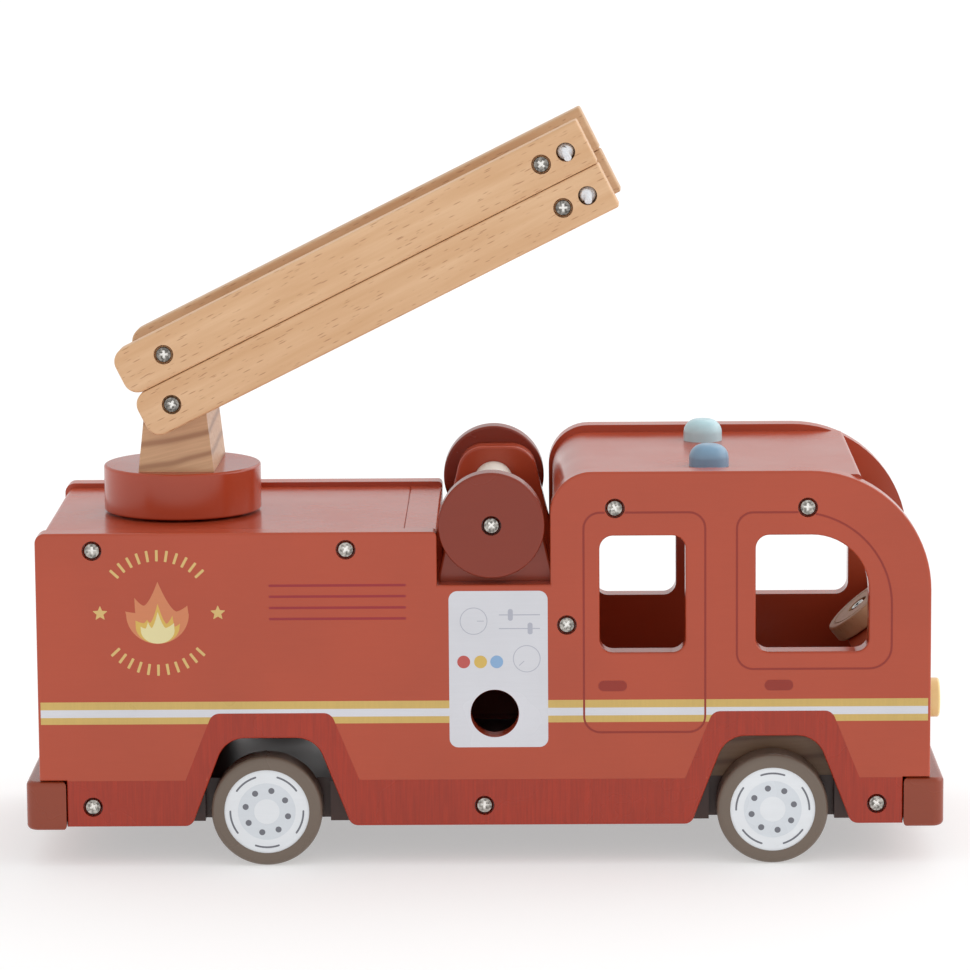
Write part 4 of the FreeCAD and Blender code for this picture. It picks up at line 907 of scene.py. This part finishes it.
class ENGINE_OT_controls(EngineOperator, bpy.types.Operator):
    """Print the control panel round the hose port on both sides"""
    bl_idname = "engine.controls"
    bl_label = "Control panel"

    def build(self, paints, woods, prints, stage):
        dull = paints.roughness + 0.05
        white = painted("Control panel print", prints.white, dull)
        grey = painted("Control marks", prints.grey, dull)
        buttons = [("red", painted("Red button", prints.red, dull), -8.0),
                   ("yellow", painted("Yellow button", prints.yellow, dull), -1.2),
                   ("blue", painted("Blue button", prints.blue, dull), 5.3)]
        face = -PANEL_LOW.y
        plate = [box_outline(-13.9, 25.9, 48.8, 112.9, 3.6, 16) * MM, circle(4.4, 62.7, 9.8, 72) * MM]
        dials = [((-3.9, 100.6), 0.0), ((17.4, 85.1), math.radians(222))]
        marks = [band(circle(x, z, 5.4, 72), 0.28) for (x, z), turn in dials]
        for (x, z), turn in dials:
            tick = np.array([[1.4, -0.14], [4.1, -0.14], [4.1, 0.14], [1.4, 0.14]])
            spin = np.array([[math.cos(turn), math.sin(turn)], [-math.sin(turn), math.cos(turn)]])
            marks.append(tick @ spin + (x, z))
        for z, knob in ((103.1, 10.9), (97.5, 18.8)):
            marks.append(box_outline(6.3, knob - 1.0, z - 0.18, z + 0.18))
            marks.append(box_outline(knob + 1.0, 22.8, z - 0.18, z + 0.18))
            marks.append(box_outline(knob - 1.0, knob + 1.0, z - 2.4, z + 2.4, 0.95, 8))
        marks = [[path * MM for path in one] if isinstance(one, list) else one * MM for one in marks]
        for name, side in SIDES.items():
            film(f"control_panel_{name}", [plate], side, face, prints.ink, white, "chassis")
            film(f"control_marks_{name}", marks, side, face, 2 * prints.ink, grey, "chassis")
            for title, paint, x in buttons:
                film(f"button_{title}_{name}", [circle(x * MM, 83.9 * MM, 2.6 * MM, 40)], side, face,
                     2 * prints.ink, paint, "chassis")


class ENGINE_OT_badge(EngineOperator, bpy.types.Operator):
    """Print the flame badge, with plain marks round it, on both sides"""
    bl_idname = "engine.badge"
    bl_label = "Flame badge"

    def build(self, paints, woods, prints, stage):
        dull = paints.roughness + 0.05
        cream = painted("Badge marks", prints.cream, dull)
        layers = [
            ("flame", painted("Flame", prints.flame, dull), (-131.0, 104.0, 12.6, 12.0),
             [(12.1, 3.6), (7.6, 1.2), (0.2, 13.4), (-5.4, 3.6), (-9.2, 6.9), (-8.9, 0.7), (-12.9, 1.3),
              (-12.6, 0.0)]),
            ("flame_middle", painted("Middle flame", prints.flame_mid, dull), (-131.0, 99.0, 8.8, 6.9),
             [(9.0, 1.3), (6.9, 0.0), (6.0, 4.6), (3.6, 1.2), (0.1, 9.4), (-3.0, 1.6), (-4.2, 2.9),
              (-5.6, 1.5), (-8.9, 2.6), (-8.8, 0.0)]),
            ("flame_core", painted("Flame core", prints.flame_core, dull), (-131.0, 97.5, 6.8, 5.4),
             [(6.6, 3.0), (3.2, 1.0), (0.1, 7.6), (-2.4, 1.0), (-3.9, 3.4), (-4.9, 0.8), (-6.9, 1.6),
              (-6.8, 0.0)]),
        ]
        face = -PANEL_LOW.y
        middle = (-131.0, 104.6)
        marks = tick_ring(*middle, 23.4, 4.6, math.radians(43), math.radians(137), 11)
        marks += tick_ring(*middle, 23.4, 4.6, math.radians(223), math.radians(317), 11)
        marks += [star(-154.1, 104.5, 3.2) * MM, star(-106.7, 104.5, 3.2) * MM]
        for name, side in SIDES.items():
            film(f"badge_marks_{name}", marks, side, face, prints.ink, cream, "chassis")
            for step, (title, paint, spot, tongues) in enumerate(layers, start=1):
                film(f"{title}_{name}", [flame(*spot, tongues) * MM], side, face, step * prints.ink, paint,
                     "chassis")


class ENGINE_OT_elastic(EngineOperator, bpy.types.Operator):
    """Make the knotted elastic cords that tie the ladder's two sections"""
    bl_idname = "engine.elastic"
    bl_label = "Elastic cords"

    def build(self, paints, woods, prints, stage):
        cover = braid("Elastic cover", woods.elastic)
        places = {section: sum(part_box(f"{section}_cord_knots"), Vector()) / 2
                  for section in ("lower", "upper")}
        ahead = {section: np.array([TURN_X + math.hypot(spot.x - TURN_X, spot.y), 0.0, spot.z])
                 for section, spot in places.items()}
        for section, spot in ahead.items():
            points, faces = tube(knot_path(section, spot), 1.5 * MM, (0.6, 0.5, 0.62))
            knots = both_sides(f"{section}_knots", points, faces, cover, f"{section}_ladder")
            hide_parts(f"{section}_cord_knots")
        share = np.linspace(0, 1, 36)
        path = ahead["lower"] + np.outer(share, ahead["upper"] - ahead["lower"])
        path[:, 1] = -(RAIL_INNER + 1.5 * MM - 5.2 * MM * np.sin(math.pi * share) ** 0.55)
        points, faces = tube(path, 1.6 * MM, (math.cos(woods.ladder_slope), 0, math.sin(woods.ladder_slope)))
        cords = both_sides("ladder_elastic", points, faces, cover, None)
        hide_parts("elastic_cords")
        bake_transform(cords)


class ENGINE_OT_stage(EngineOperator, bpy.types.Operator):
    """Set the floor, the lights and the camera"""
    bl_idname = "engine.stage"
    bl_label = "Stage"

    def build(self, paints, woods, prints, stage):
        scene = bpy.context.scene
        scene.view_settings.view_transform = "Standard"
        reach = 12.0
        corners = np.array([[-1, -1, 0], [1, -1, 0], [1, 1, 0], [-1, 1, 0]]) * reach
        mesh = bpy.data.meshes.new("floor")
        mesh.from_pydata((corners - (0, 0, 0.0001)).tolist(), [], [[0, 1, 2, 3]])
        material, _, shader, _ = blank_material("Floor")
        shader.inputs["Base Color"].default_value = rgba(stage.floor)
        shader.inputs["Roughness"].default_value = 0.9
        shader.inputs["Specular IOR Level"].default_value = 0.2
        shader.inputs["Emission Color"].default_value = (1.0, 1.0, 1.0, 1.0)
        shader.inputs["Emission Strength"].default_value = stage.glow
        mesh.materials.append(material)
        floor = bpy.data.objects.new("floor", mesh)
        scene.collection.objects.link(floor)
        world = bpy.data.worlds.new("Studio")
        world.use_nodes = True
        world.node_tree.nodes["Background"].inputs["Color"].default_value = (1.0, 1.0, 1.0, 1.0)
        world.node_tree.nodes["Background"].inputs["Strength"].default_value = stage.world
        scene.world = world
        for name, spot, energy in (("back_light", (0.8, 1.0, 1.0), stage.back),
                                   ("side_light", (2.0, 0.1, 0.9), stage.side)):
            light = bpy.data.lights.new(name, "SUN")
            light.energy = energy
            light.angle = math.radians(50)
            lamp = bpy.data.objects.new(name, light)
            lamp.rotation_mode = "QUATERNION"
            lamp.rotation_quaternion = (-Vector(spot)).to_track_quat("-Z", "Y")
            scene.collection.objects.link(lamp)
        lens = bpy.data.cameras.new("camera")
        lens.lens = stage.lens
        lens.sensor_width = 36.0
        lens.clip_end = 50.0
        camera = bpy.data.objects.new("camera", lens)
        camera.location = stage.camera
        sight = Vector(stage.target) - Vector(stage.camera)
        camera.rotation_mode = "QUATERNION"
        camera.rotation_quaternion = sight.to_track_quat("-Z", "Y") @ Quaternion((0, 0, 1), stage.roll)
        scene.collection.objects.link(camera)
        scene.camera = camera


OPERATORS = (
    ENGINE_OT_patterns, ENGINE_OT_stage, ENGINE_OT_boards, ENGINE_OT_woods, ENGINE_OT_hardware,
    ENGINE_OT_wheels, ENGINE_OT_lamps, ENGINE_OT_livery, ENGINE_OT_controls, ENGINE_OT_badge,
    ENGINE_OT_elastic,
)
GROUPS = {"engine_paints": EnginePaints, "engine_woods": EngineWoods, "engine_prints": EnginePrints,
          "engine_stage": EngineStage}


class ENGINE_PT_panel(bpy.types.Panel):
    """Lists the fire engine's settings and operators"""
    bl_label = "Toy fire engine"
    bl_idname = "ENGINE_PT_panel"
    bl_space_type = "VIEW_3D"
    bl_region_type = "UI"
    bl_category = "Fire engine"

    def draw(self, context):
        for attribute, group in GROUPS.items():
            box = self.layout.box()
            for name in group.__annotations__:
                box.prop(getattr(context.scene, attribute), name)
        for operator in OPERATORS:
            self.layout.operator(operator.bl_idname)


CLASSES = (*GROUPS.values(), *OPERATORS, ENGINE_PT_panel)


def register():
    """Registers every class and hangs the properties on the scene."""
    for one in CLASSES:
        bpy.utils.register_class(one)
    for attribute, group in GROUPS.items():
        setattr(bpy.types.Scene, attribute, bpy.props.PointerProperty(type=group))


def unregister():
    """Takes the properties and classes away again."""
    for attribute in GROUPS:
        delattr(bpy.types.Scene, attribute)
    for one in reversed(CLASSES):
        bpy.utils.unregister_class(one)


def main():
    """Builds everything."""
    register()
    for operator in OPERATORS:
        getattr(bpy.ops.engine, operator.bl_idname.split(".")[1])()


if __name__ == "__main__":
    main()
